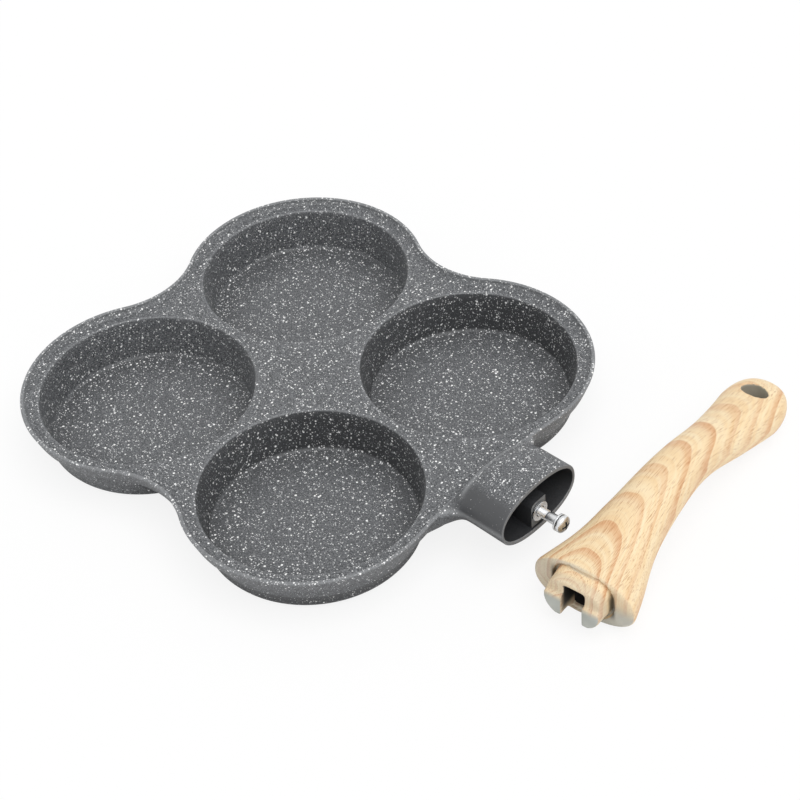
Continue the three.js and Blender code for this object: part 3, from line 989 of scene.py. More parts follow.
    def disc_rows(
        self, edge: np.ndarray, edge_height: np.ndarray, profile: Sequence, steps: Sequence[float]
    ) -> Grid:
        """Rows of points from a cup's middle out to its cell's edge.

        Args:
            edge: Points of the edge.
            edge_height: Their heights.
            profile: Radius and height of each round row; a height may be an array.
            steps: Shares of the way from the last round row to the edge.

        Returns:
            The rows.
        """
        cup = np.array([self.half_pitch, self.half_pitch])
        reach = np.linalg.norm(edge - cup, axis=1)[:, None]
        away = (edge - cup) / reach
        rows = [
            np.column_stack([cup + away * np.reshape(radius, (-1, 1)), np.broadcast_to(z, len(edge))])
            for radius, z in profile
        ]
        last = rows[-1]
        rim = np.column_stack([edge, edge_height])
        rows.extend(last + (rim - last) * share for share in steps)
        return rows

    def top_rows(self, side: int) -> Grid:
        """Rows over a cup's inside and the deck around it.

        Args:
            side: Quarter, counted from the socket's side.

        Returns:
            The rows, in the quarter's frame.
        """
        floor = self.floor_thickness
        foot = self.cup_floor - self.floor_fillet
        fillet = arc((foot, floor + self.floor_fillet), self.floor_fillet, -QUARTER, 0, 6)
        edge_centre = (self.cup_rim + self.edge_round, self.deck - self.edge_round)
        edge = arc(edge_centre, self.edge_round, math.pi, QUARTER, 6)
        wall = [tuple(np.array(fillet[-1]) + (np.array(edge[0]) - fillet[-1]) * k / 5) for k in range(1, 5)]
        floor_rows = [(foot * k / 5, floor) for k in range(5)]
        points = self.cell(self.outline(side, self.lip_width + self.lip_fillet))
        heights = np.full(len(points), self.deck)
        return self.disc_rows(points, heights, [*floor_rows, *fillet, *wall, *edge], [0.2, 0.4, 0.6, 0.8, 1])

    def wall_radius(self, height: np.ndarray | float) -> np.ndarray | float:
        """Outside radius of a cup at a height above its rounded foot.

        Args:
            height: Height above the table.

        Returns:
            The radius there.
        """
        foot = self.cup_floor + self.cup_wall
        top = self.deck - self.edge_round
        return foot + self.outside_draft * (height - self.base_round) / (top - self.base_round)

    def under_edge(self, side: int) -> tuple[np.ndarray, np.ndarray]:
        """Inner edge of the skirt, where the hollow under the deck closes up against the cup's wall.

        Args:
            side: Quarter.

        Returns:
            Points of the cell's edge under the deck, and their heights.
        """
        line = self.outline(side, self.skirt_draft + self.skirt_wall)
        bottom = self.deck + self.lip_rise - self.skirt_height
        under = self.deck - self.deck_thickness
        gap = np.linalg.norm(line - self.half_pitch, axis=1) - self.wall_radius(bottom)
        edge = self.cell(line)
        heights = np.full(len(edge), under)
        heights[:len(line)] = bottom + (under - bottom) * self.hollow_gap.at(gap)
        return edge, heights

    def bottom_rows(self, side: int) -> Grid:
        """Rows over a cup's base, its outer wall and the underside of the deck.

        Args:
            side: Quarter, counted from the socket's side.

        Returns:
            The rows, in the quarter's frame.
        """
        edge, heights = self.under_edge(side)
        foot = self.cup_floor + self.cup_wall - self.base_round
        rows = [(foot * k / 8, 0.0) for k in range(8)]
        rows += arc((foot, self.base_round), self.base_round, -QUARTER, 0, 7)
        for share in np.linspace(0, 1, 9)[1:]:
            height = self.base_round + (heights - self.base_round) * share
            rows.append((self.wall_radius(height), height))
        return self.disc_rows(edge, heights, rows, [0.25, 0.5, 0.75, 1])

    def band_rows(self, side: int) -> Grid:
        """Rows over the lip and the skirt, from the deck's edge round to the underside.

        Args:
            side: Quarter, counted from the socket's side.

        Returns:
            The rows, in the quarter's frame.
        """
        top = self.deck + self.lip_rise
        bottom = top - self.skirt_height
        inner = self.lip_width
        crest = self.crest_round
        fillet = self.lip_fillet
        profile = arc((inner + fillet, self.deck + fillet), fillet, -QUARTER, -math.pi, 7)
        profile += arc((inner - crest, top - crest), crest, 0, QUARTER, 4)
        profile += arc((self.lip_round, top - self.lip_round), self.lip_round, QUARTER, math.pi, 5)
        draft = self.skirt_draft
        drop = self.skirt_height - self.lip_round
        profile += [(draft * k / 6, top - self.lip_round - drop * k / 6) for k in range(1, 6)]
        ease = self.skirt_round
        profile += [(draft - ease / 3, bottom + ease), (draft + ease, bottom)]
        profile.append((draft + self.skirt_wall, bottom))
        rows = []
        for inset, height in profile:
            line = self.outline(side, inset)
            rows.append(np.column_stack([line, np.full(len(line), height)]))
        edge, heights = self.under_edge(side)
        count = len(rows[0])
        rows.append(np.column_stack([edge[:count], heights[:count]]))
        return rows

    def shell(self) -> Piece:
        """The pan without its socket.

        Returns:
            The solid, in its own frame.
        """
        points: list[np.ndarray] = []
        faces: list[tuple[int, ...]] = []
        start = 0
        for side in range(4):
            skins = ((self.top_rows, True), (self.bottom_rows, True), (self.band_rows, False))
            for skin, closed in skins:
                rows = skin(side)
                faces += [tuple(start + i for i in f) for f in strip_faces(len(rows), len(rows[0]), closed)]
                points.append(self.quarter_turn(side, rows))
                start += len(rows) * len(rows[0])
        return new_piece("pan_casting", np.concatenate(points), faces)

    def socket_ring(self, x: float, inset: float = 0.0, side_inset: float = 0.0) -> np.ndarray:
        """One ring of the socket's skin: a round shoulder on top, and lower flanks that flare into the skirt.

        Args:
            x: Place along X.
            inset: Distance in from the outside above and below.
            side_inset: Distance in at the sides.

        Returns:
            Points of the ring.
        """
        rise = min(max((x - self.shoulder_reach) / self.shoulder_length, 0), 1)
        out = min(max((x - self.shoulder_reach) / self.root_flare_length, 0), 1)
        back = min(max((self.mouth_reach - x) / (self.mouth_reach - self.shoulder_reach), 0), 1)
        lip_top = self.deck + self.lip_rise
        low = self.deck - self.lip_round if x < self.shoulder_reach else lip_top - self.shoulder_sink
        high = self.socket_centre + self.socket_half_height
        top = low + (high - low) * math.sqrt(1 - (1 - rise) ** 2) - inset
        bottom = self.socket_centre - self.socket_half_height + self.under_rise * back + inset
        half_width = self.socket_half_width - side_inset
        middle, half_height = (top + bottom) / 2, (top - bottom) / 2
        ring = oval_ring(x, middle, half_width, half_height, self.oval_sides, self.socket_power)
        flare = self.root_flare * (1 - out) ** self.root_flare_power / half_width
        ring[:, 1] *= 1 + flare * (1 - self.flare_height.at(ring[:, 2]))
        radius = self.hollow(self.socket_side_reach)[0]
        ring[:, 0] += (1 - rise) * (radius - np.sqrt(radius ** 2 - ring[:, 1] ** 2))
        wing = ease_between(np.abs(ring[:, 1]), self.socket_half_width, self.flare_side)
        ring[:, 0] -= (1 - rise) * self.flare_tuck * wing
        ring[:, 0] += (1 - back) * self.mouth_lean * (self.socket_centre - ring[:, 2])
        return ring

    def socket(self) -> Piece:
        """The socket with its cavity, post and screw hole.

        Returns:
            The solid, in its own frame.
        """
        end = self.shoulder_reach + self.shoulder_length
        steps = self.shoulder_steps
        rise = [self.shoulder_reach + self.shoulder_length * (k / steps) ** 2 for k in range(steps + 1)]
        places = (self.root_reach, self.shoulder_reach - 1e-3, *rise, *self.tube_places)
        rings = [self.socket_ring(x) for x in places]
        ease = self.mouth_round
        for inset, back in arc((ease, ease), ease, math.pi, 1.5 * math.pi, 4):
            rings.append(self.socket_ring(self.mouth_reach - back, inset, inset))
        body = loft("socket", rings)
        wall, side = self.socket_wall, self.socket_side_wall
        steps = self.cavity_steps
        inner = [self.back_reach + (end - self.back_reach) * k / steps for k in range(steps + 1)]
        bevel = self.mouth_bevel
        inner += [self.cavity_place, self.mouth_reach - bevel]
        cavity = [self.socket_ring(x, wall, side) for x in inner]
        cavity += [self.socket_ring(self.mouth_reach + k, wall - bevel, side - bevel) for k in (0.0, 2.0)]
        combine(body, loft("socket_cavity", cavity), Cut.TAKE)
        combine(body, self.post(), Cut.ADD)
        ends = (self.post_face - self.thread_hole_depth, self.post_face + 4)
        hole = [turned_ring(x, self.thread_hole, 48) + (0, 0, self.screw_axis) for x in ends]
        combine(body, loft("screw_hole", hole), Cut.TAKE)
        around = arc((0, 0), self.cup_rim + self.room_round_cup, 0, 2 * math.pi, 96)[:-1]
        for y in (-self.half_pitch, self.half_pitch):
            heights = (0.0, self.deck + 20)
            disc = [np.array([(self.half_pitch + x, y + s, z) for x, s in around]) for z in heights]
            combine(body, loft("cup_room", disc), Cut.TAKE)
        return body

    def post(self) -> Piece:
        """The post on the socket's floor, with one rounded corner.

        Returns:
            The solid, in its own frame.
        """
        half = self.post_width / 2
        top = self.screw_axis + self.post_above_screw
        corner = arc((self.post_corner - half, top - self.post_corner), self.post_corner, QUARTER, math.pi, 8)
        rings = []
        for x in (self.back_reach - self.socket_wall, self.post_face):
            foot = float(self.socket_ring(x)[:, 2].min()) + self.socket_wall / 2
            shape = [(-half, foot), (half, foot), (half, top), *corner]
            rings.append(np.array([(x, y, z) for y, z in shape]))
        return loft("post", rings)

    def finish_of(self, centre: Vector, normal: Vector) -> Finish:
        """Finish of a face of the casting.

        Args:
            centre: The face's middle, in the pan's frame.
            normal: Its direction.

        Returns:
            The finish.
        """
        if centre.z < SLACK and normal.z < -FACING:
            return BASE_COAT
        if centre.x > self.back_reach - 0.5:
            above = centre.z - self.socket_centre
            if normal.x > FACING and abs(centre.x - self.post_face) < SLACK / 2:
                return POST_COAT
            rim = self.mouth_reach - self.mouth_round - SLACK
            if normal.x > self.rim_tilt and centre.x + self.mouth_lean * above > rim:
                return EDGE_COAT
            faces_in = centre.y * normal.y + above * normal.z < 0 or normal.x > FACING
            on_post = abs(centre.y) < self.post_width / 2 + SLACK and above < self.post_width / 2
            beside_post = on_post and normal.z > -0.5
            # Faces inside the socket get the dark undercoat with painted shade.
            if faces_in or beside_post:
                return SOCKET_COAT_AND_SHADE
        return STONE_COAT

    def coat_state(self, spot: Vector, normal: Vector) -> tuple[float, float, float, float]:
        """How the coat lies at a vertex.

        Args:
            spot: The vertex, in the pan's frame.
            normal: Its direction.

        Returns:
            Distance from its cup's middle, share left unsprayed, share of painted shade low in the cup, and
            share of painted highlight on a raised edge.
        """
        cup_x, cup_y = math.copysign(self.half_pitch, spot.x), math.copysign(self.half_pitch, spot.y)
        reach = Vector((spot.x - cup_x, spot.y - cup_y, 0))
        middle = math.hypot(abs(spot.x) - self.half_pitch, abs(spot.y) - self.half_pitch)
        flank = ease_between(spot.x, self.shoulder_reach, self.shoulder_reach + self.bare_length)
        side = max(self.bare_near.at(-spot.y), self.bare_far.at(spot.y), 1 - self.bare_tilt.at(normal.z))
        missed = flank * ((1 + self.spray_extra) * side - self.spray_extra)
        # Painted shade: darker towards the edge of each cup's floor, and on the walls of the cups on the
        # socket's side.
        cup_shade = 0.0
        in_cup = self.floor_thickness - SLACK < spot.z < self.deck - self.wall_top
        if in_cup and middle < self.cup_rim + 1:
            wall = 1 - self.wall_tilt.at(normal.z)
            cup_shade = (1 - wall) * self.floor_dark * self.floor_edge.at(middle)
            cup_shade += wall * self.near_wall_dark * self.near_cups.at(spot.x)
        # Painted highlight along the lip, the fillet under it, each cup's brim and a line across the socket's
        # shoulder.
        crest = self.deck + self.lip_rise
        root = self.root_along.at(spot.x) * (1 - self.root_across.at(abs(spot.y)))
        lip = self.lip_band.at(spot.z - crest)
        lip *= 1 - ease_between(spot.z, crest, crest + SLACK / 2 + self.root_climb * root)
        fillet = 1 - self.fillet_tilt.at(normal.dot(reach) / max(middle, 1))
        fillet *= ease_between(spot.z, self.deck + SLACK, crest - 1) * float(spot.z < crest + SLACK)
        brim = 1 - min(abs(middle - self.cup_rim - self.brim_middle) / self.brim_half_width, 1)
        brim *= float(self.deck - self.brim_drop < spot.z < self.deck + SLACK)
        bow = self.ridge_bow * (spot.y / self.ridge_end.end) ** 2
        ridge = max(0.0, 1 - abs(spot.x - self.ridge_reach - bow) / self.ridge_half_width)
        ridge *= (1 - self.ridge_end.at(abs(spot.y))) * float(normal.z > self.ridge_tilt)
        thin = max(self.lip_highlight * max(lip, fillet), self.brim_highlight * brim, self.ridge_highlight * ridge)
        return middle, float(missed - self.fillet_spray * fillet), float(cup_shade), float(thin)

    def dress(self, piece: Piece) -> None:
        """Give each face its finish and store how the coat lies on each vertex.

        Args:
            piece: Piece to change.
        """
        finishes = [STONE_COAT, SOCKET_COAT_AND_SHADE, EDGE_COAT, POST_COAT, BASE_COAT]
        lay_finishes(piece, finishes, lambda face: self.finish_of(face.center, face.normal))
        store_states(piece, ("from_middle", "unsprayed", "painted_cup_shade", "painted_edge_highlight"), self.coat_state)

    def build(self) -> Piece:
        """The finished casting, in place on its body.

        Returns:
            What was built.
        """
        piece = self.shell()
        combine(piece, self.socket(), Cut.ADD)
        weld(piece.data, 2e-3)
        keep_largest(piece.data)
        self.dress(piece)
        soften(piece, 38)
        place(piece, self.centre)
        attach(piece, "pan")
        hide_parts("pan_body")
        return piece


@dataclass
class FixingSet:
    """The screw that holds the handle, with a flat washer at the post and a spring washer under the head."""

    pan: PanCasting
    radius: float = 2.45
    core: float = 1.95
    pitch: float = 0.8
    thread_start: float = 1.2
    thread_turns: float = 6.0
    in_post: float = 10.0
    shank_out: float = 13.0
    head_radius: float = 4.3
    head_height: float = 3.3
    head_rim: float = 1.3
    recess_width: float = 1.1
    recess_length: float = 5.0
    recess_depth: float = 1.7
    washer_radius: float = 5.0
    washer_hole: float = 2.75
    washer_thickness: float = 1.0
    spring_radius: float = 4.3
    spring_thickness: float = 1.2
    spring_turn: float = 0.95
    spring_rise: float = 0.3
    spring_ease: float = 0.12
    washer_ease: float = 0.15
    head_ease: float = 0.25
    neck_ease: float = 0.2
    tip_taper: float = 0.4
    tip_length: float = 0.5
    gap: float = 0.3
    sides: int = 64

    def turned(self, name: str, profile: Sequence[tuple[float, float]]) -> Piece:
        """Solid turned about X from its radius at places along X."""
        return loft(name, [turned_ring(x, max(radius, 1e-3), self.sides) for radius, x in profile])

    def wound_tree(self, name: str, section: Section, steps: int) -> Tree:
        """Node tree for a bar wound along a helix.

        Args:
            name: Tree name.
            section: Form of the bar.
            steps: Points in one turn.

        Returns:
            The tree, which ends in real geometry with its finish.
        """
        sizes = dict.fromkeys(("Middle", "Rise", "Turns", "Wide", "Thick"), "NodeSocketFloat")
        tree = node_group(name, sizes | {"Finish": "NodeSocketMaterial"})
        add = partial(add_node, tree)
        middle = add("NodeGroupInput", out="Middle")
        given = middle.node.outputs
        helix = add("CurveSpiral", {
            "Resolution": steps,
            "Rotations": given["Turns"],
            "Start Radius": middle,
            "End Radius": middle,
            "Height": given["Rise"],
        })
        steady = add("SetCurveNormal", {"Curve": helix}, mode="Z_UP")
        if section is Section.RIDGE:
            bar = add("CurvePrimitiveCircle", {"Resolution": 4, "Radius": given["Thick"]})
        else:
            square = add("CurvePrimitiveQuadrilateral", {"Width": given["Wide"], "Height": given["Thick"]})
            bar = add("FilletCurve", {"Curve": square, "Radius": self.spring_ease, "Count": 3}, mode="POLY")
        swept = add("CurveToMesh", {"Curve": steady, "Profile Curve": bar, "Fill Caps": True})
        real = add("RealizeInstances", {"Geometry": swept})
        dressed = add("SetMaterial", {"Geometry": real, "Material": given["Finish"]})
        add("NodeGroupOutput", {"Geometry": dressed})
        return tree

    def lay_down(self, piece: Piece, x: float) -> None:
        """Turn a piece drawn along Z so that it runs along X from a place."""
        piece.data.transform(Matrix.Translation((x, 0, 0)) @ Matrix.Rotation(QUARTER, 4, "Y"))

    def screw(self) -> Piece:
        """The screw: threaded shank, plain neck and domed head with a cross recess.

        Returns:
            The solid, in its own frame.
        """
        thread_end = self.thread_start + self.pitch * self.thread_turns
        profile = [
            (0.0, -self.in_post),
            (self.core - self.tip_taper, -self.in_post),
            (self.core, -self.in_post + self.tip_length),
            (self.core, thread_end),
            (self.radius, thread_end + self.tip_length),
            (self.radius, self.shank_out - self.neck_ease),
            (self.radius + self.neck_ease, self.shank_out),
            (self.head_radius - self.head_ease, self.shank_out),
        ]
        corner = (self.shank_out + self.head_ease, self.head_radius - self.head_ease)
        profile += [(radius, x) for x, radius in arc(corner, self.head_ease, math.pi, QUARTER, 3)]
        foot = self.shank_out + self.head_rim
        dome = self.head_height - self.head_rim
        for k in range(13):
            angle = QUARTER * k / 12
            profile.append((self.head_radius * math.cos(angle), foot + dome * math.sin(angle)))
        body = self.turned("fixing_screw_turned", profile)
        top = self.shank_out + self.head_height
        half, slim = self.recess_length / 2, self.recess_width / 2
        deep = top - self.recess_depth
        combine(body, block("recess_flat", (deep, -half, -slim), (top + 2, half, slim)), Cut.TAKE)
        combine(body, block("recess_tall", (deep, -slim, -half), (top + 2, slim, half)), Cut.TAKE)
        turns = self.thread_turns + (self.in_post - 1) / self.pitch
        thread = grown("thread", self.wound_tree("helical_thread", Section.RIDGE, 40), {
            "Middle": self.core,
            "Rise": self.pitch * turns,
            "Turns": turns,
            "Thick": self.radius - self.core,
            "Finish": ZINC.material(),
        })
        self.lay_down(thread, 1 - self.in_post + self.thread_start - self.tip_taper)
        work = bmesh.new()
        work.from_mesh(body.data)
        work.from_mesh(thread.data)
        work.to_mesh(body.data)
        work.free()
        bpy.data.objects.remove(thread)
        return body

    def washer(self) -> Piece:
        """The flat washer, with eased edges.

        Returns:
            The solid, in its own frame.
        """
        ease = self.washer_ease
        start, end = self.gap, self.gap + self.washer_thickness
        outer, hole = self.washer_radius, self.washer_hole
        profile = [
            (hole, start + ease),
            (hole + ease, start),
            (outer - ease, start),
            (outer, start + ease),
            (outer, end - ease),
            (outer - ease, end),
            (hole + ease, end),
            (hole, end - ease),
        ]
        rings = [turned_ring(x, radius, self.sides) for radius, x in [*profile, profile[0]]]
        return new_piece("flat_washer_ring", np.concatenate(rings), strip_faces(len(rings), self.sides, True))

    def spring(self) -> Piece:
        """The spring washer.

        Returns:
            The solid, in its own frame.
        """
        bar = self.spring_thickness - self.spring_rise
        piece = grown("spring_washer_coil", self.wound_tree("split_ring", Section.BAR, 80), {
            "Middle": (self.spring_radius + self.washer_hole) / 2,
            "Rise": self.spring_rise,
            "Turns": self.spring_turn,
            "Wide": self.spring_radius - self.washer_hole,
            "Thick": bar,
            "Finish": ZINC.material(),
        })
        front = self.shank_out - self.gap - self.spring_thickness
        self.lay_down(piece, front + bar / 2)
        return piece

    def in_recess(self, spot: Vector) -> bool:
        """Whether a place on the screw lies in the cross recess or between two threads.

        Args:
            spot: Place in the piece's own frame.

        Returns:
            True where it does.
        """
        out = math.hypot(spot.y, spot.z)
        top = self.shank_out + self.head_height
        slim = min(abs(spot.y), abs(spot.z)) < self.recess_width / 2 + 0.02
        dome = self.head_height - self.head_rim
        skin = top - dome + dome * math.sqrt(max(0.0, 1 - (out / self.head_radius) ** 2))
        below_skin = top - self.recess_depth - SLACK < spot.x < skin - SLACK
        in_cross = slim and below_skin and out < self.recess_length / 2 + SLACK
        thread_end = self.thread_start + self.pitch * self.thread_turns
        return in_cross or (spot.x < thread_end and out < self.core + 0.12)

    def build(self) -> list[Piece]:
        """The three pieces, in place on their bodies.

        Returns:
            What was built.
        """
        pieces = [
            (self.screw(), "fixing_screw", "screw"),
            (self.washer(), "flat_washer", "pan"),
            (self.spring(), "spring_washer", "lock_washer"),
        ]
        where = self.pan.centre + Vector((self.pan.post_face, 0, self.pan.screw_axis)) * MM
        for piece, node, body in pieces:
            # Faces in the cross recess and between the threads get the zinc with painted shade.
            shaded = self.in_recess if node == "fixing_screw" else lambda spot: False
            lay_finishes(piece, [ZINC, ZINC_SHADED], lambda face: ZINC_SHADED if shaded(face.center) else ZINC)
            soften(piece, 35)
            place(piece, where)
            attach(piece, body)
            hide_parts(node)
        return [piece for piece, _, _ in pieces]


@dataclass
class ArchedHandle:
    """The loose handle: an arched moulding with a hanging hole and a slotted tongue at its front."""

    pan: PanCasting
    length: float = 165.2
    half_width: dict[float, float] = field(
        default_factory=lambda: {0: 27.1, 10: 24.1, 32: 17, 65: 12.7, 97: 11.2, 121: 13.3, 143: 16.2}
    )
    half_height: dict[float, float] = field(
        default_factory=lambda: {0: 15, 16: 14.5, 81: 12, 143: 12, 166: 11.5}
    )
    middle_height: dict[float, float] = field(
        default_factory=lambda: {0: 15, 18: 16.6, 40: 23, 81: 27, 121: 16.7, 143: 12.3, 166: 11.6}
    )
    tail_length: float = 23.0
    tail_power: float = 2.4
    front_round: float = 2.6
    section_power: float = 2.25
    hole_from_front: float = 148.5
    hole_half_across: float = 7.0
    hole_half_along: float = 4.7
    tongue_half_width: float = 14.5
    tongue_top_power: float = 3.5
    tongue_half_height: float = 10.7
    flare_length: float = 3.0
    root_rise: float = 3.2
    groove: float = 1.5
    groove_depth: float = 2.4
    groove_rise: float = 1.2
    leg_length: float = 10.0
    leg_below: float = 8.4
    leg_above: float = 3.0
    arch_length: float = 7.3
    slot_half_width: float = 5.3
    slot_above: float = 8.4
    tunnel_start: float = -6.0
    tunnel_below: float = 9.5
    tunnel_depth: float = 22.0
    tunnel_skin: float = 0.25
    # Painted shade inside the tunnel starts this far behind the front.
    tunnel_dark_from: float = 1.5
    tunnel_rise: float = math.radians(10)
    front_x: float = 188.0
    front_y: float = -20.5
    turn: float = math.radians(94.8)
    film_front: float = 14.0
    hole_bare: float = 0.8
    hole_skin: float = 1.08
    front_tilt: Fade = Fade(0.3, 0.75)
    front_end: Fade = Fade(2, 5)
    tongue_root: Fade = Fade(-4, -1)
    tongue_bare: float = 0.3
    leg_top: Fade = Fade(0, 4)
    left_half: Fade = Fade(-8, 8)
    left_bare: float = 0.55
    # Undercoat grey on the right lobe, high and low; its growth towards the bottom is partly painted shade.
    right_bare_and_shade: Pair = (0.2, 0.7)
    right_low: Fade = Fade(-6, 4)
    underside: Fade = Fade(4, 11)
    underside_end: Fade = Fade(3, 9)
    underside_bare: float = 0.6
    slot_front: Fade = Fade(-10.5, -6)
    slot_low: Fade = Fade(-10, -3)
    slot_back: float = 5.0
    crease_side: Fade = Fade(0.5, 2.2)
    crease_front: Fade = Fade(-2.5, 0)
    crease_back: Fade = Fade(1.5, 3)
    crease_low: Fade = Fade(-9, -3)
    crease_high: Fade = Fade(4, 12)
    crease_dark: float = 0.85
    ease_rounds: int = 5
    tip_rounds: int = 22
    tip_fade: Fade = Fade(-1.5, 0.5)
    sides: int = 96
    rings: int = 110
    voxel: float = 0.55

    def ring(self, x: float) -> np.ndarray:
        """One ring of the grip's skin at a distance from the front.

        Args:
            x: Distance from the front face.

        Returns:
            Points of the ring.
        """
        past = max(0.0, x - self.length + self.tail_length) / self.tail_length
        tail = max(0.0, 1 - past ** self.tail_power) ** (1 / self.tail_power)
        lead = max(0.0, 1 - x / self.front_round)
        nose = self.front_round * (1 - math.sqrt(1 - lead ** 2))
        across = max(smooth_table(self.half_width, x) * tail - nose, 0.02)
        up = max(smooth_table(self.half_height, x) * tail - nose, 0.02)
        return oval_ring(x, smooth_table(self.middle_height, x), across, up, self.sides, self.section_power)

    def grip(self) -> Piece:
        """The grip without its tongue and hollows.

        Returns:
            The solid, in its own frame.
        """
        lead = [self.front_round * (1 - math.cos(QUARTER * k / 6)) for k in range(6)]
        rest = self.length - self.front_round
        turns = [QUARTER * k / self.rings for k in range(self.rings + 1)]
        places = lead + [self.front_round + rest * math.sin(turn) for turn in turns]
        return loft("handle_moulding", [self.ring(x) for x in places])

    def tongue_ring(self, x: float, centre: float, rise: float, out: float = 0.0) -> np.ndarray:
        """One ring of the tongue's skin, squarer on top.

        Args:
            x: Place from the front face.
            centre: Height of its middle.
            rise: Further height at its root.
            out: Distance outwards on all sides.

        Returns:
            Points of the ring.
        """
        wide, high = self.tongue_half_width + out, self.tongue_half_height + rise + out
        top = oval_ring(x, centre, wide, high, self.sides, self.tongue_top_power)
        under = oval_ring(x, centre, wide, high, self.sides, 2)
        return np.concatenate([top[:self.sides // 2], under[self.sides // 2:]])

    def tongue(self, centre: float) -> Piece:
        """The tongue, flared at its root, with its legs longer than its arch.

        Args:
            centre: Height of the tongue's middle.

        Returns:
            The solid, in its own frame.
        """
        ends = [(-self.leg_length, 0.0), (-self.flare_length, 0.0), (2 * self.front_round, self.root_rise)]
        bar = loft("tongue", [self.tongue_ring(x, centre, rise) for x, rise in ends])
        wide = self.tongue_half_width + 1
        far = 2 * self.leg_length
        feet = block("leg_feet", (-far, -wide, -5), (-3, wide, centre - self.leg_below))
        combine(bar, feet, Cut.TAKE)
        over_legs = (-far, -wide, centre + self.leg_above)
        combine(bar, block("above_legs", over_legs, (-self.arch_length, wide, 2 * centre)), Cut.TAKE)
        return bar

    def tunnel(self, centre: float) -> Piece:
        """The tunnel behind the slot, which climbs with the arch.

        Args:
            centre: Height of the tongue's middle.

        Returns:
            The solid, in its own frame.
        """
        low = (self.tunnel_start, -self.slot_half_width, -self.tunnel_below)
        box = block("tunnel", low, (self.tunnel_depth, self.slot_half_width, self.slot_above))
        box.data.transform(Matrix.Translation((0, 0, centre)) @ Matrix.Rotation(-self.tunnel_rise, 4, "Y"))
        return box

    def hanging_hole(self) -> Piece:
        """The oval hole through the tail.

        Returns:
            The solid, in its own frame.
        """
        turn = [2 * math.pi * k / 72 for k in range(72)]
        oval = [
            (self.hole_from_front + self.hole_half_along * math.cos(a), self.hole_half_across * math.sin(a))
            for a in turn
        ]
        return loft("hanging_hole", [np.array([(x, y, z) for x, y in oval]) for z in (-10.0, 60.0)])

    def moulding(self) -> Piece:
        """The whole handle with the soft edges of a moulded piece.

        Returns:
            The solid, in its own frame.
        """
        piece = self.grip()
        centre = self.half_height[0]
        ends = (-1.0, self.groove_depth)
        moat = [self.tongue_ring(x, centre, self.groove_rise, self.groove) for x in ends]
        combine(piece, loft("groove_round_tongue", moat), Cut.TAKE)
        combine(piece, self.tongue(centre), Cut.ADD)
        slot_low = (-2 * self.leg_length, -self.slot_half_width, -5.0)
        slot_high = (0.0, self.slot_half_width, centre + self.slot_above)
        combine(piece, block("slot", slot_low, slot_high), Cut.TAKE)
        combine(piece, self.tunnel(centre), Cut.TAKE)
        combine(piece, self.hanging_hole(), Cut.TAKE)
        remesh = piece.modifiers.new("even", "REMESH")
        remesh.mode = "VOXEL"
        remesh.voxel_size = self.voxel
        ease = piece.modifiers.new("ease", "SMOOTH")
        ease.iterations = self.ease_rounds
        settle(piece)
        tip = piece.vertex_groups.new(name="tongue_tip")
        for vertex in piece.data.vertices:
            if vertex.co.x < self.tip_fade.end:
                tip.add([vertex.index], 1 - self.tip_fade.at(vertex.co.x), "REPLACE")
        rounding = piece.modifiers.new("rounding", "SMOOTH")
        rounding.vertex_group = tip.name
        rounding.iterations = self.tip_rounds
        settle(piece)
        return piece

    def in_tunnel(self, spot: Vector) -> bool:
        """Whether a place lies on the inside of the slot or tunnel.

        Args:
            spot: Place in the piece's own frame.

        Returns:
            True where it does.
        """
        centre = self.half_height[0]
        climb = math.tan(self.tunnel_rise) * max(spot.x, 0)
        low, high = centre - self.tunnel_below + climb, centre + self.slot_above + climb
        skin = self.tunnel_skin
        between = low - skin < spot.z < high + skin and abs(spot.y) < self.slot_half_width + skin
        return between and self.tunnel_dark_from < spot.x < self.tunnel_depth + 2 * skin

    def film_state(self, spot: Vector, normal: Vector) -> tuple[float, float]:
        """How the printed film lies at a vertex near the front.

        Args:
            spot: The vertex, in the handle's frame.
            normal: Its direction.

        Returns:
            Share of undercoat left bare, and share of painted shade in the slot and in the crease beside the
            tongue.
        """
        if spot.x > self.film_front:
            along = (spot.x - self.hole_from_front) / self.hole_half_along
            from_hole = math.hypot(along, spot.y / self.hole_half_across)
            return self.hole_bare * float(from_hole < self.hole_skin and abs(normal.z) < 0.6), 0.0
        above = spot.z - self.half_height[0]
        wide = abs(spot.y)
        faces_front = self.front_tilt.at(-normal.x) * (1 - self.front_end.at(spot.x))
        on_tongue = 1 - self.tongue_root.at(spot.x)
        leg = self.tongue_bare + (1 - self.tongue_bare) * (1 - self.leg_top.at(above))
        left = self.left_half.at(spot.y)
        # On the right lobe the grey grows towards the bottom: undercoat, partly painted shade.
        least, more = self.right_bare_and_shade
        lobe = self.left_bare * left + (1 - left) * (least + more * self.right_low.at(-above))
        front = faces_front * (on_tongue * leg + (1 - on_tongue) * lobe)
        low = self.underside.at(-above) * (1 - self.underside_end.at(spot.x))
        # Painted shade inside the slot and in the crease beside the tongue.
        in_slot = wide < self.slot_half_width + 0.35 and above < self.slot_above + 0.4
        inside = float(in_slot and spot.x < self.slot_back)
        inside *= self.slot_front.at(spot.x) * self.slot_low.at(above)
        gap = self.tongue_half_width + self.groove / 2
        crease = 1 - self.crease_side.at(abs(wide - gap))
        crease *= self.crease_front.at(spot.x) * (1 - self.crease_back.at(spot.x))
        crease *= self.crease_low.at(above) * (1 - self.crease_high.at(above))
        bare = max(front, self.tongue_bare * on_tongue, self.underside_bare * low)
        return float(bare), float(max(inside, self.crease_dark * crease))

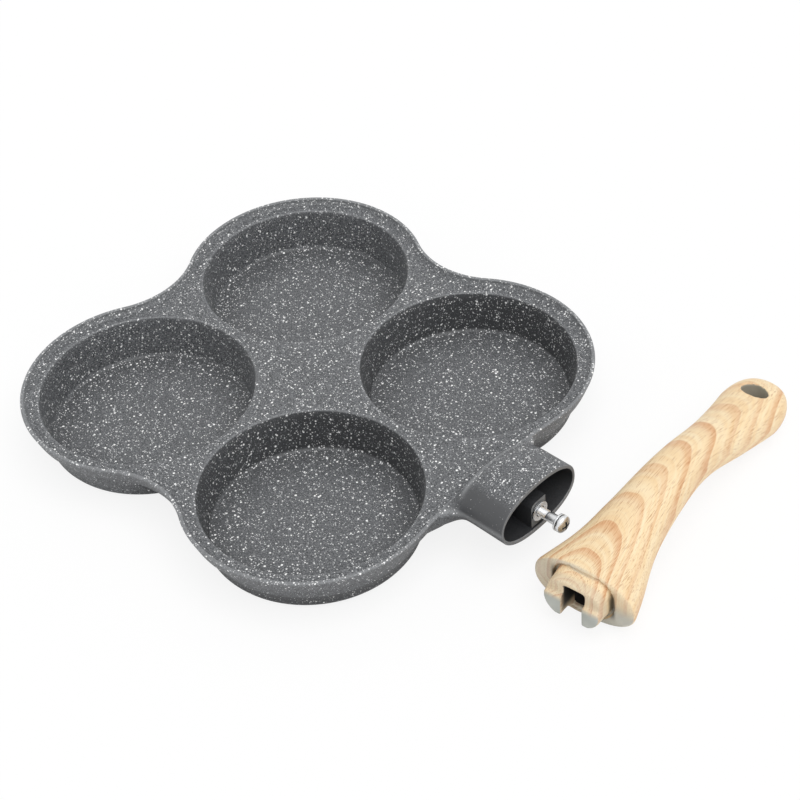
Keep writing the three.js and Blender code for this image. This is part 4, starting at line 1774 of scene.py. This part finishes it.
    def dress(self, piece: Piece) -> None:
        """Store the grain's place on each vertex and give the faces their finishes.

        Args:
            piece: Piece to change.
        """
        grain = piece.data.attributes.new("grain", "FLOAT_VECTOR", "POINT")
        for vertex, value in zip(piece.data.vertices, grain.data):
            x, y, z = vertex.co
            value.vector = (x, y, z - smooth_table(self.middle_height, x))
        store_states(piece, ("bare", "in_shade"), self.film_state)
        hollow = self.in_tunnel
        # Faces inside the slot's tunnel get near-black painted shade.
        lay_finishes(piece, [WOOD, TUNNEL_SHADE], lambda face: TUNNEL_SHADE if hollow(face.center) else WOOD)

    def build(self) -> Piece:
        """The finished handle, in place on its body.

        Returns:
            What was built.
        """
        piece = self.moulding()
        self.dress(piece)
        soften(piece, 60)
        low = min(v.co.z for v in piece.data.vertices)
        where = self.pan.centre + Vector((self.front_x, self.front_y, -low)) * MM
        place(piece, where, self.turn)
        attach(piece, "loose_handle")
        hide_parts("handle")
        return piece


@dataclass
class Studio:
    """White sweep, soft light and the camera at the photograph's place."""

    target: Point = (-0.11, 1.79, 25.0)
    azimuth: float = 45.42
    elevation: float = 42.58
    distance: float = 968.5
    roll: float = -4.81
    lens: float = 90.24
    sensor: float = 36.0
    sight: float = 20.0
    floor_reach: float = 6000.0
    floor_drop: float = 0.3
    sky: float = 0.55
    sun: float = 0.5
    sun_azimuth: float = 80.0
    sun_elevation: float = 70.0
    sun_spread: float = 60.0

    def direction(self, azimuth: float, elevation: float) -> Vector:
        """Unit vector towards a place round the set, from angles in degrees."""
        a, e = math.radians(azimuth), math.radians(elevation)
        return Vector((math.sin(a) * math.cos(e), -math.cos(a) * math.cos(e), math.sin(e)))

    def camera(self) -> None:
        """Set the scene's camera."""
        data = bpy.data.cameras.new("photograph_view")
        data.lens = self.lens
        data.sensor_width = self.sensor
        data.clip_end = self.sight
        camera = bpy.data.objects.new("photograph_view", data)
        back = self.direction(self.azimuth, self.elevation)
        camera.location = (Vector(self.target) + back * self.distance) * MM
        camera.rotation_mode = "QUATERNION"
        turn = Matrix.Rotation(math.radians(self.roll), 3, "Z").to_quaternion()
        camera.rotation_quaternion = (-back).to_track_quat("-Z", "Y") @ turn
        bpy.context.scene.collection.objects.link(camera)
        bpy.context.scene.camera = camera

    def floor(self) -> None:
        """Lay the white floor just under the set."""
        reach, drop = self.floor_reach, -self.floor_drop
        corners = [(-reach, -reach, drop), (reach, -reach, drop), (reach, reach, drop), (-reach, reach, drop)]
        floor = new_piece("white_sweep", corners, [(0, 1, 2, 3)])
        if floor.data.polygons[0].normal.z < 0:
            floor.data.flip_normals()
        floor.data.materials.append(FLOOR_WHITE.material())
        place(floor, Vector())

    def light(self) -> None:
        """Light the set from an even white room and a broad lamp overhead."""
        world = bpy.data.worlds.new("white_room")
        world.use_nodes = True
        tree = world.node_tree
        tree.nodes.clear()
        seen = add_node(tree, "LightPath", out="Is Camera Ray")
        rays = seen.node.outputs
        for ray in ("Is Glossy Ray", "Is Transmission Ray"):
            seen = add_node(tree, "Math", {0: seen, 1: rays[ray]}, operation="ADD", use_clamp=True)
        level = add_node(tree, "MapRange", {"Value": seen, "To Min": self.sky, "To Max": 1.0})
        room = add_node(tree, "Background", {"Color": hex_colour("#ffffff"), "Strength": level})
        add_node(tree, "OutputWorld", {"Surface": room})
        bpy.context.scene.world = world
        data = bpy.data.lights.new("broad_lamp", "SUN")
        data.energy = self.sun * math.pi / math.sin(math.radians(self.sun_elevation))
        data.angle = math.radians(self.sun_spread)
        lamp = bpy.data.objects.new("broad_lamp", data)
        lamp.rotation_mode = "QUATERNION"
        away = self.direction(self.sun_azimuth, self.sun_elevation)
        lamp.rotation_quaternion = away.to_track_quat("Z", "Y")
        bpy.context.scene.collection.objects.link(lamp)

    def build(self) -> None:
        """Set up floor, light, camera and plain colours."""
        self.floor()
        self.light()
        self.camera()
        bpy.context.scene.view_settings.view_transform = "Standard"


def main() -> None:
    """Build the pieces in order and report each."""
    logging.basicConfig(level=logging.INFO, format="%(message)s")
    pan = PanCasting()
    pieces = [pan.build(), *FixingSet(pan).build(), ArchedHandle(pan).build()]
    for piece in pieces:
        piece.data.calc_loop_triangles()
        LOG.info("%s: %d triangles", piece.name, len(piece.data.loop_triangles))
    Studio().build()


if __name__ == "__main__":
    main()
